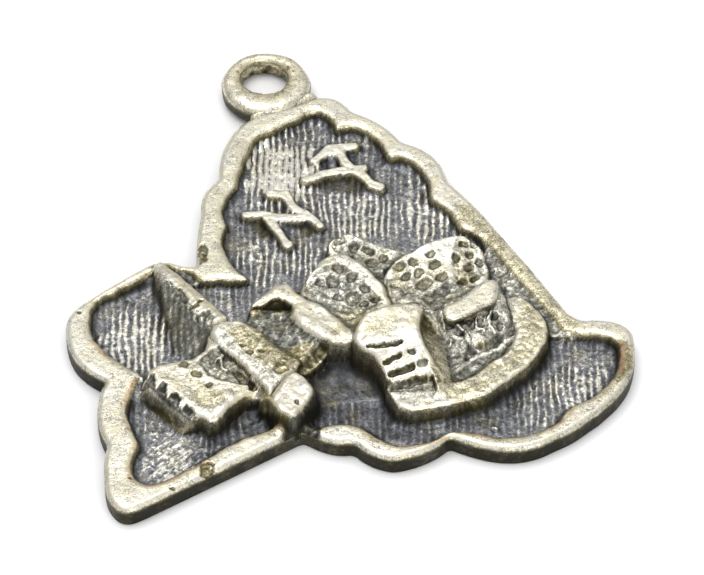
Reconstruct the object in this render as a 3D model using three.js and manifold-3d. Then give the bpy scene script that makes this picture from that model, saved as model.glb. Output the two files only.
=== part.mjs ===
// Map pendant: a flat silver charm with the outline of a place, a raised scalloped border, a small
// city and two aeroplanes in relief, and a fixed eye ring to hang it by.
// It lies on its back: millimetres, +Z out of its face, +Y towards the ring, back face at z = 0.

import * as THREE from 'three';
import { mergeVertices } from 'three/addons/utils/BufferGeometryUtils.js';
import Module from 'manifold-3d';

const wasm = await Module();
wasm.setup();

// Overall size of the map. Its outlines and places are drawn further down, at about this size, and
// the drawing is stretched to fit.
const mapWidth = 27.34;
const mapLength = 26.48;

// Plate and border
const plateThickness = 0.5;
const borderRise = 0.65;
const borderRound = 0.12;
const seam = 0.05;
const arcStep = 0.55;

// Eye ring and the solder that holds it. The hole lies off the ring's middle, away from the plate.
const ringHoleRadius = 1.17;
const ringWidth = 1.13;
const ringHoleShift = 0.45;
const ringThickness = 1.2;
const ringRound = 0.35;
const ringLift = 0.05;
const ringLetIn = 0.39;
const ringSeat = [-0.39, 10.97];
const neckThickness = 1.0;
const neckLift = 0.1;

// How far each piece of the relief stands above the field
const spireRise = 1.3;
const spireTowerRise = 1.5;
const longBlockRise = 1.3;
const turretRise = 1.75;
const courtRoofRise = 1.85;
const courtWallRise = 1.55;
const archBlockRise = 1.7;
const backRowRise = 1.2;
const cornerTowerRise = 1.8;
const slabTowerRise = 1.5;
const roofSlabThickness = 0.45;
const frontTowerRise = 2.3;
const quayWallRise = 1.0;
const quayFloorRise = 0.6;
const planeRise = 0.6;

// Round turret and aeroplane bars
const turretRadius = 1.08;
const turretCrownRadius = 0.8;
const turretShoulder = 0.7;
const turretPlace = [-3.7, -10.05];
const barWidth = 0.42;
const knobWidth = 0.6;

const fieldLevel = plateThickness;
const borderTop = fieldLevel + borderRise;
const borderChamfer = Math.min(borderRound, borderRise / 5);
const clearHeight = fieldLevel + frontTowerRise + borderTop;
const ringOuterRadius = ringHoleRadius + ringWidth;
const discSides = 12;
const turretSides = 24;
const ringSides = 40;
const jointRadius = barWidth * 0.53;

// Border, clockwise from under the ring. A run starts where the last one ended; each row is the
// end of an arc and how far the arc bulges to the left of the way there.
const borderStart = { outer: [1.01, 10.97], inner: [0.8, 9.93] };
const borderRuns = [
  {
    name: 'right_shoulder_rim',
    outer: [[3.51, 9.82, 0.84], [5.5, 7.1, 0.3], [7.16, 3.79, 0.6], [8.9, -0.58, 0.12]],
    inner: [
      [1.8, 10.22, 0.15], [2.44, 8.74, 0.18], [3.53, 8.66, 0.15], [4.59, 6.07, 0.3],
      [5.74, 5.6, 0.21], [6.04, 2.76, 0.28], [7.09, 0.31, 0.23], [8.08, -1.0, 0.07],
    ],
  },
  {
    name: 'right_slope_rim',
    outer: [[10.91, -6.72, 0.05], [11.43, -7.29, -0.12]],
    inner: [[9.54, -5.43, 0], [10.37, -7.88, 0.12]],
  },
  {
    name: 'right_lobe_rim',
    outer: [
      [13.02, -7.66, 0.09], [13.61, -9.34, 0.36], [11.22, -13.21, 0.51], [10.27, -13.83, 0.05],
      [8.3, -14.77, 0.1], [5.08, -14.76, 0.39], [3.37, -13.59, 0.06],
    ],
    inner: [
      [12.09, -8.53, 0], [12.74, -9.79, 0.43], [11.49, -11.96, 0.23], [9.91, -12.66, 0.16],
      [8.83, -13.59, -0.08], [7.19, -14.2, 0.16], [4.82, -13.76, 0.2], [3.46, -13.2, -0.07],
    ],
  },
  {
    name: 'centre_rim',
    outer: [[0.36, -14.5, 0.28], [-1.24, -12.98, 0.22], [-2.87, -12.33, 0.18], [-3.49, -11.72, 0]],
    inner: [
      [0.88, -13.67, 0.25], [-0.43, -12.44, 0.2], [-1.18, -11.8, -0.08], [-2.75, -11.74, -0.13],
      [-3.37, -11.13, 0],
    ],
  },
  {
    name: 'lower_left_rim',
    outer: [
      [-11.84, -15.0, 0], [-13.45, -14.23, 0.61], [-13.36, -12.65, 0.09], [-12.88, -10.74, 0.1],
      [-12.79, -7.69, 0.24], [-12.18, -6.51, 0.12],
    ],
    inner: [
      [-5.44, -11.37, -0.12], [-8.75, -12.76, -0.14], [-11.36, -13.68, 0.14], [-12.04, -12.6, 0.31],
      [-11.42, -11.05, 0.11], [-11.62, -9.18, 0], [-11.1, -7.37, 0.15], [-10.43, -6.4, -0.04],
    ],
  },
  {
    name: 'left_lobe_rim',
    outer: [
      [-13.46, -4.71, 0.16], [-13.57, -2.79, 0.1], [-12.59, -1.12, 0.23], [-8.4, 1.12, 0.06],
      [-7.75, 1.04, 0.1],
    ],
    inner: [
      [-11.89, -4.56, 0.05], [-12.34, -2.56, 0.2], [-11.77, -1.04, 0.12], [-8.67, 0.46, -0.06],
      [-7.7, 0.55, 0.1],
    ],
  },
  {
    name: 'notch_rim',
    outer: [[-6.41, 0.34, -0.12]],
    inner: [[-6.44, -0.6, 0.1]],
  },
  {
    name: 'left_shoulder_rim',
    outer: [
      [-5.45, 4.09, 0.1], [-4.09, 6.33, 0.36], [-2.59, 9.73, 0.3], [-1.07, 10.56, 0.15],
      [1.01, 10.97, -0.07],
    ],
    inner: [
      [-4.0, -1.08, -0.09], [-4.9, 1.61, 0.2], [-4.36, 3.04, 0.13], [-3.85, 5.16, 0.26],
      [-3.25, 5.85, 0], [-2.12, 8.41, 0.12], [-0.9, 9.3, 0.11], [0.8, 9.93, -0.06],
    ],
  },
];

// Solder that runs from the plate's top edge onto the ring, further up on the right
const neckOutline = [
  [-1.5, 10.1], [1.9, 10.3], [2.0, 11.2], [1.8, 11.75], [1.35, 11.9], [0.8, 11.4], [0.0, 11.15],
  [-0.9, 11.05], [-1.5, 11.1],
];

// Relief, front pieces first: corners are x, y and the share of the piece's rise, anticlockwise;
// facets are the top's faces, by corner number; a later piece is cut clear of those it names.
const relief = [
  {
    name: 'front_tower',
    rise: frontTowerRise,
    corners: [
      [0.0, -7.2, 0.96], [-0.1, -7.85, 0.91], [0.5, -8.55, 0.83], [1.0, -9.5, 0.65],
      [1.05, -10.5, 0.44], [4.0, -10.65, 0.44], [3.55, -9.45, 0.7], [3.12, -8.4, 0.93],
      [3.15, -7.6, 0.99], [3.75, -6.1, 1], [2.35, -5.8, 1], [1.3, -5.95, 1], [0.55, -6.35, 1],
    ],
    facets: [[12, 0, 1, 2, 7, 8, 9, 10, 11], [2, 3, 4, 5, 6, 7]],
  },
  {
    name: 'court_roof',
    rise: courtRoofRise,
    corners: [
      [-4.8, -4.15, 1], [-4.2, -4.2, 1], [-3.1, -3.85, 1], [-2.45, -4.4, 1], [-2.8, -5.25, 1],
      [-1.5, -7.3, 1], [-0.3, -7.5, 1], [0.0, -6.9, 1], [-0.9, -4.9, 1], [-1.95, -4.05, 1],
      [-2.55, -2.45, 1],
    ],
    facets: [[0, 1, 2, 3, 4, 5, 6, 7, 8, 9, 10]],
    clearOf: ['front_tower'],
  },
  {
    name: 'spire_tower',
    rise: spireTowerRise,
    corners: [
      [-6.5, -4.45, 1], [-6.85, -5.3, 0.95], [-5.7, -7.4, 0.95], [-4.65, -9.55, 0.95],
      [-3.15, -8.5, 1], [-2.8, -7.9, 1], [-3.65, -7.1, 1], [-4.7, -4.8, 1],
    ],
    facets: [[0, 1, 2, 6, 7], [2, 3, 4, 5, 6]],
    clearOf: ['round_turret', 'court_roof'],
  },
  {
    name: 'spire',
    rise: spireRise,
    corners: [
      [-8.1, 0.9, 0.6], [-8.4, 0.75, 0.66], [-8.6, 0.5, 0.6], [-7.0, -4.2, 0.85],
      [-6.3, -4.2, 1], [-5.6, -4.1, 0.9],
    ],
    facets: [[0, 1, 4, 5], [1, 2, 3, 4]],
    clearOf: ['spire_tower'],
  },
  {
    name: 'long_block',
    rise: longBlockRise,
    corners: [
      [-9.5, -6.4, 0.96], [-10.5, -7.1, 0.96], [-9.0, -9.05, 0.96], [-8.1, -10.75, 0.92],
      [-7.25, -10.65, 0.92], [-6.6, -9.85, 0.92], [-5.7, -9.25, 0.85], [-4.9, -9.1, 0.78],
      [-5.65, -6.9, 0.8], [-6.5, -5.3, 0.9], [-6.8, -5.0, 1], [-7.45, -6.4, 1],
    ],
    facets: [[0, 1, 2, 3, 4, 5, 11], [5, 6, 7, 8, 9, 10, 11]],
    clearOf: ['spire_tower', 'round_turret'],
  },
  {
    name: 'court_wall',
    rise: courtWallRise,
    corners: [
      [-4.75, -4.1, 1], [-4.55, -5.0, 0.84], [-4.0, -6.3, 0.84], [-3.5, -7.5, 0.84],
      [-2.65, -7.8, 0.84], [-1.85, -7.1, 0.9], [-1.4, -6.9, 1], [-2.3, -4.6, 1],
    ],
    facets: [[0, 1, 2, 7], [2, 3, 4, 5, 6, 7]],
    clearOf: ['court_roof', 'spire_tower'],
  },
  {
    name: 'slab_tower',
    rise: slabTowerRise,
    corners: [
      [4.6, -5.7, 1], [4.4, -6.6, 1], [4.9, -7.9, 0.6], [6.1, -8.15, 0.6], [7.75, -7.55, 0.65],
      [7.9, -5.9, 1], [7.7, -4.85, 1], [7.1, -4.7, 1], [6.4, -5.0, 1],
    ],
    facets: [[8, 0, 1, 5, 6, 7], [1, 2, 3, 4, 5]],
    clearOf: ['front_tower'],
  },
  {
    name: 'corner_tower',
    rise: cornerTowerRise,
    corners: [
      [6.55, -1.25, 1], [5.1, -1.4, 0.96], [3.9, -1.85, 0.9], [2.8, -2.25, 0.84],
      [2.3, -3.6, 0.6], [2.3, -5.6, 0.46], [4.0, -6.0, 0.46], [5.4, -5.6, 0.46], [7.0, -4.4, 0.46],
      [7.7, -3.8, 0.5], [7.55, -1.85, 0.94],
    ],
    facets: [[0, 1, 2, 3, 4, 5, 6, 7], [0, 7, 8, 9, 10]],
    clearOf: ['front_tower', 'slab_tower'],
  },
  {
    name: 'arch_block',
    rise: archBlockRise,
    corners: [
      [0.55, -1.25, 1], [-0.25, -1.35, 1], [-1.05, -2.2, 1], [-1.6, -3.05, 0.94],
      [-1.9, -4.0, 0.88], [-0.9, -5.2, 0.82], [0.0, -6.6, 0.82], [1.2, -6.1, 0.82],
      [2.4, -5.6, 0.85], [2.8, -4.9, 0.88], [2.1, -3.5, 0.94], [1.55, -2.45, 1], [1.05, -1.65, 1],
    ],
    facets: [[0, 1, 2, 3, 4, 5, 6, 7, 8, 9, 10, 11, 12]],
    clearOf: ['front_tower', 'court_roof', 'corner_tower'],
  },
  {
    name: 'back_row',
    rise: backRowRise,
    corners: [
      [1.2, 0.6, 1], [0.2, 0.2, 0.92], [0.05, -0.5, 0.7], [0.0, -1.6, 0.6], [2.2, -2.8, 0.65],
      [2.6, -4.2, 0.65], [4.1, -1.9, 0.8], [4.15, -1.5, 1], [3.6, -1.2, 1], [2.7, -0.7, 1],
      [1.85, 0.15, 1],
    ],
    facets: [[0, 1, 2, 3, 4, 9, 10], [4, 5, 6, 7, 8, 9]],
    clearOf: ['arch_block', 'corner_tower'],
  },
  {
    name: 'quay_wall',
    rise: quayWallRise,
    corners: [
      [0.95, -10.4, 1], [1.35, -11.9, 1], [3.2, -12.0, 1], [5.4, -11.7, 1], [6.4, -11.2, 1],
      [8.45, -9.9, 1], [9.55, -8.25, 1], [9.65, -7.0, 1], [9.15, -6.0, 1], [8.7, -5.3, 1],
      [8.0, -5.4, 1], [8.2, -7.3, 1], [7.45, -8.95, 1], [6.3, -9.65, 1], [4.8, -10.5, 1],
      [4.15, -10.5, 1], [2.5, -10.75, 1],
    ],
    facets: [[0, 1, 2, 3, 4, 5, 6, 7, 8, 9, 10, 11, 12, 13, 14, 15, 16]],
    clearOf: ['front_tower', 'right_slope_rim'],
  },
  {
    name: 'quay_floor',
    rise: quayFloorRise,
    corners: [
      [8.0, -4.6, 1], [6.5, -5.0, 1], [3.0, -6.2, 1], [3.0, -8.6, 1], [3.7, -10.2, 1],
      [4.8, -10.6, 1], [6.4, -9.8, 1], [7.6, -9.0, 1], [8.35, -7.3, 1], [8.2, -5.2, 1],
    ],
    facets: [[0, 1, 2, 3, 4, 5, 6, 7, 8, 9]],
    clearOf: ['front_tower', 'slab_tower', 'corner_tower', 'quay_wall'],
  },
];

// A slab that overhangs the tower it lies on
const roofSlabOutline = [
  [4.6, -6.15], [4.55, -6.95], [4.8, -7.2], [5.2, -7.2], [5.85, -7.0], [6.7, -6.6], [7.25, -6.45],
  [7.5, -6.0], [7.75, -5.2], [7.6, -4.85], [7.1, -4.8], [6.55, -5.1], [5.95, -5.6], [5.3, -6.0],
];

// Aeroplanes: chains of bars, from end to end
const upperPlaneBars = [
  [[0.85, 6.85], [1.9, 7.55], [3.15, 7.45]],
  [[2.1, 7.45], [2.45, 6.3], [3.4, 4.55], [3.85, 4.2]],
  [[0.15, 5.5], [1.0, 5.75], [2.55, 5.75], [3.2, 5.8]],
];
const lowerPlaneBars = [
  [[-1.8, 4.9], [-1.05, 4.7], [-0.75, 3.7], [-0.15, 2.75], [0.2, 2.1]],
  [[-3.3, 3.6], [-2.45, 3.55], [-1.85, 3.15], [-0.65, 2.85]],
  [[-2.3, 3.3], [-1.85, 2.05], [-1.65, 1.2]],
];
const lowerPlaneKnob = [-1.63, 1.1];

const polished = { color: 0xcfc8b2, metalness: 1, roughness: 0.35 };
const oxidised = { color: 0x5c5c60, metalness: 1, roughness: 0.5 };
const group = new THREE.Group();
const footprints = new Map();

function solidOf(geometry) {
  const bare = geometry.index ? geometry.toNonIndexed() : geometry.clone();
  bare.deleteAttribute('normal');
  bare.deleteAttribute('uv');
  const merged = mergeVertices(bare, 1e-5);
  return new wasm.Manifold(new wasm.Mesh({
    numProp: 3,
    vertProperties: new Float32Array(merged.attributes.position.array),
    triVerts: new Uint32Array(merged.index.array),
  }));
}

function geometryOf(solid) {
  const { vertProperties, triVerts } = solid.getMesh();
  const geometry = new THREE.BufferGeometry();
  geometry.setAttribute('position', new THREE.BufferAttribute(vertProperties, 3));
  geometry.setIndex(new THREE.BufferAttribute(triVerts, 1));
  return geometry;
}

function addPiece(name, solid, look) {
  const material = new THREE.MeshStandardMaterial(look);
  const mesh = new THREE.Mesh(geometryOf(solid), material);
  mesh.name = name;
  group.add(mesh);
}

// Where a drawn point comes to lie on the map
function placed(point) {
  const [x, y] = point.isVector2 ? point.toArray() : point;
  return new THREE.Vector2(x * stretch.x, y * stretch.y);
}

// Points of a run of arcs after its first point
function runPoints(from, arcs) {
  const points = [];
  let start = new THREE.Vector2(...from);
  for (const [x, y, bulge] of arcs) {
    const end = new THREE.Vector2(x, y);
    const chord = end.clone().sub(start);
    const left = new THREE.Vector2(-chord.y, chord.x).normalize();
    const steps = Math.max(1, Math.round(chord.length() / arcStep));
    for (let i = 1; i <= steps; i += 1) {
      const t = i / steps;
      const lift = 4 * bulge * t * (1 - t);
      points.push(start.clone().addScaledVector(chord, t).addScaledVector(left, lift));
    }
    start = end;
  }
  return points;
}

function endOf(arcs) {
  return arcs[arcs.length - 1].slice(0, 2);
}

// The outline moved out by a distance, for an anticlockwise outline
function grown(points, distance) {
  return points.map((point, i) => {
    const before = points[(i + points.length - 1) % points.length];
    const after = points[(i + 1) % points.length];
    const a = point.clone().sub(before).normalize();
    const b = after.clone().sub(point).normalize();
    const bisector = new THREE.Vector2(a.y + b.y, -a.x - b.x).normalize();
    const stretch = Math.max(0.4, bisector.x * a.y - bisector.y * a.x);
    return point.clone().addScaledVector(bisector, distance / stretch);
  });
}

function anticlockwise(points) {
  return THREE.ShapeUtils.isClockWise(points) ? points.slice().reverse() : points;
}

function circle({ x, y }, radius, sides) {
  return Array.from({ length: sides }, (_, i) => {
    const turn = (2 * Math.PI * i) / sides;
    return new THREE.Vector2(x + radius * Math.cos(turn), y + radius * Math.sin(turn));
  });
}

function prism(points, bottom, top) {
  const shape = new THREE.Shape(points);
  const geometry = new THREE.ExtrudeGeometry(shape, { depth: top - bottom, bevelEnabled: false });
  geometry.translate(0, 0, bottom);
  return solidOf(geometry);
}

// A prism with its top edges broken by a chamfer
function chamferedPrism(points, bottom, top, chamfer) {
  const geometry = new THREE.ExtrudeGeometry(new THREE.Shape(points), {
    depth: top - bottom,
    bevelThickness: chamfer,
    bevelSize: chamfer,
    bevelOffset: -chamfer,
    bevelSegments: 1,
  });
  geometry.translate(0, 0, bottom - chamfer);
  const below = prism(grown(points, chamfer), bottom - 3 * chamfer, bottom);
  return solidOf(geometry).subtract(below);
}

// A solid turned about an upright line, its outline as radii and heights from the bottom up
function turned(profile, centre, sides) {
  const points = profile.map(([radius, height]) => new THREE.Vector2(radius, height));
  const geometry = new THREE.LatheGeometry(points, sides);
  geometry.rotateX(Math.PI / 2);
  geometry.translate(centre.x, centre.y, 0);
  return solidOf(geometry);
}

// Straight walls from the field up to a top made of facets, each corner at its own height
function reliefSolid({ rise, corners, facets }) {
  const top = corners.map((corner) => {
    const { x, y } = placed(corner);
    return new THREE.Vector3(x, y, fieldLevel + rise * corner[2]);
  });
  const foot = top.map(({ x, y }) => new THREE.Vector3(x, y, fieldLevel));
  const triangles = [];
  for (const facet of facets) {
    const flat = facet.map((n) => new THREE.Vector2(top[n].x, top[n].y));
    for (const abc of THREE.ShapeUtils.triangulateShape(flat, [])) {
      triangles.push(abc.map((n) => top[facet[n]]));
    }
  }
  const ring = foot.map(({ x, y }) => new THREE.Vector2(x, y));
  for (const [a, b, c] of THREE.ShapeUtils.triangulateShape(ring, [])) {
    triangles.push([foot[c], foot[b], foot[a]]);
  }
  for (let i = 0; i < top.length; i += 1) {
    const j = (i + 1) % top.length;
    triangles.push([foot[i], foot[j], top[j]], [foot[i], top[j], top[i]]);
  }
  const geometry = new THREE.BufferGeometry().setFromPoints(triangles.flat());
  return solidOf(geometry);
}

function clearedOf(solid, names) {
  let rest = solid;
  for (const name of names) {
    rest = rest.subtract(prism(grown(footprints.get(name), seam), -fieldLevel, clearHeight));
  }
  return rest;
}

// Border strips and the whole outline
const drawnOutline = [];
const drawnStrips = [];
let { outer: outerFrom, inner: innerFrom } = borderStart;
for (const { name, outer, inner } of borderRuns) {
  const outside = runPoints(outerFrom, outer);
  const inside = [new THREE.Vector2(...innerFrom), ...runPoints(innerFrom, inner)];
  drawnStrips.push({ name, loop: [new THREE.Vector2(...outerFrom), ...outside, ...inside.reverse()] });
  drawnOutline.push(...outside);
  outerFrom = endOf(outer);
  innerFrom = endOf(inner);
}
const drawnSize = new THREE.Box2().setFromPoints(drawnOutline).getSize(new THREE.Vector2());
const stretch = new THREE.Vector2(mapWidth, mapLength).divide(drawnSize);
const plateOutline = anticlockwise(drawnOutline.map(placed));
for (const { name, loop } of drawnStrips) {
  footprints.set(name, anticlockwise(loop.map(placed)));
}

// Footprints of the relief
const turretCentre = placed(turretPlace);
for (const { name, corners } of relief) {
  footprints.set(name, corners.map(placed));
}
footprints.set('round_turret', circle(turretCentre, turretRadius, turretSides));

addPiece('back_plate', prism(plateOutline, 0, fieldLevel), oxidised);

for (const { name } of borderRuns) {
  const strip = chamferedPrism(footprints.get(name), fieldLevel, borderTop, borderChamfer);
  addPiece(name, clearedOf(strip, ['spire']), polished);
}

for (const piece of relief) {
  addPiece(piece.name, clearedOf(reliefSolid(piece), piece.clearOf ?? []), polished);
}

const roofSlabBottom = fieldLevel + slabTowerRise;
const roofSlab = prism(roofSlabOutline.map(placed), roofSlabBottom, roofSlabBottom + roofSlabThickness);
addPiece('roof_slab', clearedOf(roofSlab, ['front_tower']), polished);

// Turret: a drum with a shoulder that slopes in to a flat crown
const turretTop = fieldLevel + turretRise;
const turretProfile = [
  [0, fieldLevel], [turretRadius, fieldLevel], [turretRadius, turretTop - turretShoulder],
  [(turretRadius + turretCrownRadius) / 2, turretTop - turretShoulder / 4],
  [turretCrownRadius, turretTop], [0, turretTop],
];
addPiece('round_turret', turned(turretProfile, turretCentre, turretSides), polished);

function disc(centre, radius) {
  return prism(circle(centre, radius, discSides), fieldLevel, fieldLevel + planeRise);
}

// Straight bars with a round joint at each point of the chain, a little wider than the bars
function barChain(drawnChain) {
  const chain = drawnChain.map(placed);
  let joined = disc(chain[0], jointRadius);
  for (let i = 1; i < chain.length; i += 1) {
    const from = chain[i - 1];
    const to = chain[i];
    const along = to.clone().sub(from).normalize();
    const side = new THREE.Vector2(-along.y, along.x).multiplyScalar(barWidth / 2);
    const corners = [
      from.clone().sub(side), to.clone().sub(side), to.clone().add(side), from.clone().add(side),
    ];
    joined = joined.add(prism(corners, fieldLevel, fieldLevel + planeRise));
    joined = joined.add(disc(chain[i], jointRadius));
  }
  return joined;
}

function plane(chains) {
  return chains.map(barChain).reduce((all, chain) => all.add(chain));
}

addPiece('upper_plane', plane(upperPlaneBars), polished);
const knob = disc(placed(lowerPlaneKnob), knobWidth / 2);
addPiece('lower_plane', plane(lowerPlaneBars).add(knob), polished);

// Solder neck, cut clear of the plate's edge
const plateEdge = prism(grown(plateOutline, seam), -fieldLevel, clearHeight);
const neckPoints = anticlockwise(neckOutline.map(placed));
const neckBlock = prism(neckPoints, neckLift, neckLift + neckThickness);
addPiece('bail_neck', neckBlock.subtract(plateEdge), polished);

// Eye ring: a round slab less an off-centre hole, both with broken edges, let into the solder and
// cut clear of the plate's edge
const ringTop = ringLift + ringThickness;
const ringEdge = Math.min(ringRound, (ringWidth - ringHoleShift) / 3, ringThickness / 3);
const slabProfile = [
  [0, ringLift], [ringOuterRadius - ringEdge, ringLift], [ringOuterRadius, ringLift + ringEdge],
  [ringOuterRadius, ringTop - ringEdge], [ringOuterRadius - ringEdge, ringTop], [0, ringTop],
];
const holeMouth = ringHoleRadius + 2 * ringEdge;
const holeProfile = [
  [0, ringLift - ringEdge], [holeMouth, ringLift - ringEdge], [ringHoleRadius, ringLift + ringEdge],
  [ringHoleRadius, ringTop - ringEdge], [holeMouth, ringTop + ringEdge], [0, ringTop + ringEdge],
];
const ringCentre = placed(ringSeat);
ringCentre.y += ringOuterRadius - ringLetIn;
const holeCentre = ringCentre.clone();
holeCentre.y += ringHoleShift;
const ringSlab = turned(slabProfile, ringCentre, ringSides);
const ringHole = turned(holeProfile, holeCentre, ringSides);
const neckSeat = prism(grown(neckPoints, seam), -fieldLevel, clearHeight);
const ring = ringSlab.subtract(ringHole).subtract(neckSeat).subtract(plateEdge);
addPiece('bail_ring', ring, polished);

// Origin: the middle of the footprint, on the back face
const extent = new THREE.Box3().setFromObject(group);
const middle = extent.getCenter(new THREE.Vector3());
group.position.set(-middle.x, -middle.y, -extent.min.z);

export default group;
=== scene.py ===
"""Map pendant in cast silver: the outline of a place with a scalloped border, a small city and
two aeroplanes in relief, and an eye ring.

The face is sculpted as heights on one fine square grid, in millimetres. Each piece is cut from
that grid, and the silver carries dark patina where polish can't reach, with painted shade and
painted light in places."""

import functools
import math

import bpy
import numpy as np
from mathutils import Matrix, Vector


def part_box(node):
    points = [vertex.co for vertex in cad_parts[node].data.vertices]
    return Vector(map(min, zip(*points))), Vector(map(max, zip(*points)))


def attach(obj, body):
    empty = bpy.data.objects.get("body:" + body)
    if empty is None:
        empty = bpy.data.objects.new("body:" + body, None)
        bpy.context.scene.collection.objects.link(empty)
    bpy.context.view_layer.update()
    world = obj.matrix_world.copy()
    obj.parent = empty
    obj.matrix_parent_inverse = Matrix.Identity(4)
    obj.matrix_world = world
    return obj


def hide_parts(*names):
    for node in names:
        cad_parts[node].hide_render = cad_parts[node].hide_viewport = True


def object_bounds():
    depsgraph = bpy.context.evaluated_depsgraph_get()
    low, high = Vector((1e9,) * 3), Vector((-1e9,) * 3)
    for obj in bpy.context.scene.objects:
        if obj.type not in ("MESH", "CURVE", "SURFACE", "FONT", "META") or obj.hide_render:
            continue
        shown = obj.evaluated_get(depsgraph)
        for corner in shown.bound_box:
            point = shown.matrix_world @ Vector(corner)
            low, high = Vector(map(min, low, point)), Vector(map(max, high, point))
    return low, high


bl_info = {
    "name": "Map Pendant",
    "version": (1, 0, 0),
    "blender": (4, 5, 0),
    "location": "View3D > Sidebar > Pendant",
    "description": "Builds a cast silver map pendant with a city and two aeroplanes in relief",
    "category": "Object",
}

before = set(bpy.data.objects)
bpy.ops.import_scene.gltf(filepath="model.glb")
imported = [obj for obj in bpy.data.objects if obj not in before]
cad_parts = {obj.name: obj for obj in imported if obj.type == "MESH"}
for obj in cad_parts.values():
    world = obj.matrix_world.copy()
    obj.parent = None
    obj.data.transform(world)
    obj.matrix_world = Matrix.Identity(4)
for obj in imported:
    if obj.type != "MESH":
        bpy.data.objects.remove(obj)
CAD_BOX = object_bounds()
MM = 0.001

# The photograph: its size in pixels, and the camera that took it, in millimetres and degrees
PICTURE_WIDTH = 704
PICTURE_HEIGHT = 575
FOCAL_PIXELS = 5000.0
CAMERA_DISTANCE = 250.0
CAMERA_ELEVATION = 45.0
CAMERA_TURN = 12.0
CAMERA_TARGET = (1.0234, -1.6338, 0.0)

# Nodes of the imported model. The eight stretches of the border are one piece here.
BORDER_NODES = (
    "right_shoulder_rim", "right_slope_rim", "right_lobe_rim", "centre_rim", "lower_left_rim",
    "left_lobe_rim", "notch_rim", "left_shoulder_rim",
)
PLANES = ("upper_plane", "lower_plane")
QUAY = ("quay_wall", "quay_floor")

# Blocks of the city: how round the edges are in mm, and how far the top is polished, 0 to 1
BLOCKS = {
    "quay_floor": (0.12, 0.43),
    "quay_wall": (0.22, 0.82),
    "back_row": (0.22, 0.56),
    "arch_block": (0.24, 0.80),
    "corner_tower": (0.22, 0.86),
    "slab_tower": (0.18, 0.57),
    "court_wall": (0.25, 0.34),
    "long_block": (0.36, 0.78),
    "spire": (0.20, 0.95),
    "spire_tower": (0.26, 0.80),
    "round_turret": (0.30, 0.92),
    "court_roof": (0.34, 0.88),
    "front_tower": (0.32, 0.87),
}

# Blocks whose surface is left rough from casting, and how rough, 0 to 1
ROUGH = {
    "quay_floor": 1.0, "court_wall": 1.0, "slab_tower": 1.0, "quay_wall": 0.3, "spire_tower": 0.6,
}

# Blocks with less of a yellow cast
COOL = ("quay_floor", "court_wall", "slab_tower")

PIECE_NUMBER = {
    name: number for number, name in enumerate(["field", "border", *BLOCKS, *PLANES])
}
FIELD = PIECE_NUMBER["field"]
BORDER = PIECE_NUMBER["border"]

# Levels of the flat field and of the border's top, in mm above the back
FIELD_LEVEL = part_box("back_plate")[1].z / MM
BORDER_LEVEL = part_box(BORDER_NODES[0])[1].z / MM

# The border, in mm: how round its two edges are, and how wide it is at the least
BORDER_OUTER_RADIUS = 0.28
BORDER_INNER_RADIUS = 0.45
BORDER_INNER_DROP = 0.20
BORDER_LEAST_WIDTH = 0.35

# The aeroplanes, in mm: how round their edges are, and how far they are worn down
PLANE_RADIUS = 0.06
PLANE_WORN = 0.12

# How much wider than its solid a cast piece is on each side, in mm
BLOCK_SPREAD = 0.05
PLANE_SPREAD = 0.03

# How steep walls are, in mm down for each mm out
BORDER_STEEPNESS = 9.0
BLOCK_STEEPNESS = 8.0
GROUND_STEEPNESS = 3.0

# How uneven the ground between blocks is, in mm
GROUND_UNEVENNESS = 0.05

# Strips of the border along its inner edge: where each fades out and where it is full, in mm in
# from that edge
INNER_EDGE = (0.22, 0.05)
INNER_HALF = (0.75, 0.1)

# The brown stain along the inside of the border: how far in from the edge it lies, in mm, and
# between which rows of the photograph it sets in
STAIN_INSET = 0.18
STAIN_START = (325.0, 355.0)

# Rows of the photograph between which the hollow turns lighter towards its foot
HOLLOW_FOOT = (385.0, 402.0)

# How far hidden sides go down below the field, in mm
SKIRT_DEPTH = 0.1
FIELD_SKIRT_DEPTH = 0.3

# Depth of a pit, in mm
PIT_DEPTH = 0.08

# How far the other surfaces are polished, 0 to 1, and how dark the painted shade on pits' lips is
SHINE = {
    "border": 0.84, "plane": 0.92, "ground": 0.52, "field": 0.45, "hollow": 0.18,
    "pit": 0.44, "painted_lip_shade": 0.34, "cut": 0.38, "ridge": 0.74,
}

# What the comb of grooves in the field is made of: a wave, clearer where it is whole or polished,
# specks, which polish cleans off, and scratches. It is weaker where the field is dull, and in the
# hollow. Where the field is polished, the wheel has reached farther down its ridges.
COMB = {
    "wave": 0.36, "whole wave": 0.5, "polished wave": 0.15, "grain": 0.35, "grit": 0.44,
    "cleaned": 0.35, "strokes": 0.6, "dull": 0.6, "hollow": 0.12,
    "reached": 0.75,
}

# How much each cause changes the polish, in the field, on all of the face and on the ring, and how
# warm the ring is. On walls, the loss of polish is patina and painted shade together.
FIELD_WEAR = {
    "comb": 0.10, "blotch": 0.04, "ridge": 0.44, "hollow blotch": 0.05, "hollow foot": 0.05,
}
WEAR = {
    "crest": 0.22, "deep": 0.32, "wall": 0.46, "border wall": 0.18, "inner edge": 0.16,
    "inner half": 0.06, "chance": 0.07,
}
# On the ring the lit wall is painted light, and its black outside and underside are patina with
# painted shade.
RING_WEAR = {"least": 0.10, "top": 0.72, "lit wall": 0.38, "grime": 0.30, "chance": 0.07}
RING_WARMTH = {"all": 0.50, "chance": 0.3, "hole wall": 0.7}

# The unevenness of the casting, in mm, and the changes of polish that go with it
CAST = {
    "lumps": 0.03, "coarse": 0.022, "grit": 0.012, "border grain": 0.006, "grain": 0.012,
    "coarse shine": 0.12, "grit shine": 0.10,
}

# How much each cause warms the colour of the face, cuts for each mm of their depth; the last two
# cool it
WARMTH = {
    "all": 0.30, "inner edge": 0.4, "inner half": 0.35, "chance": 0.3, "steep": 0.35,
    "cut depth": 2.0, "cool": 0.3, "hollow": 0.1,
}
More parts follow.
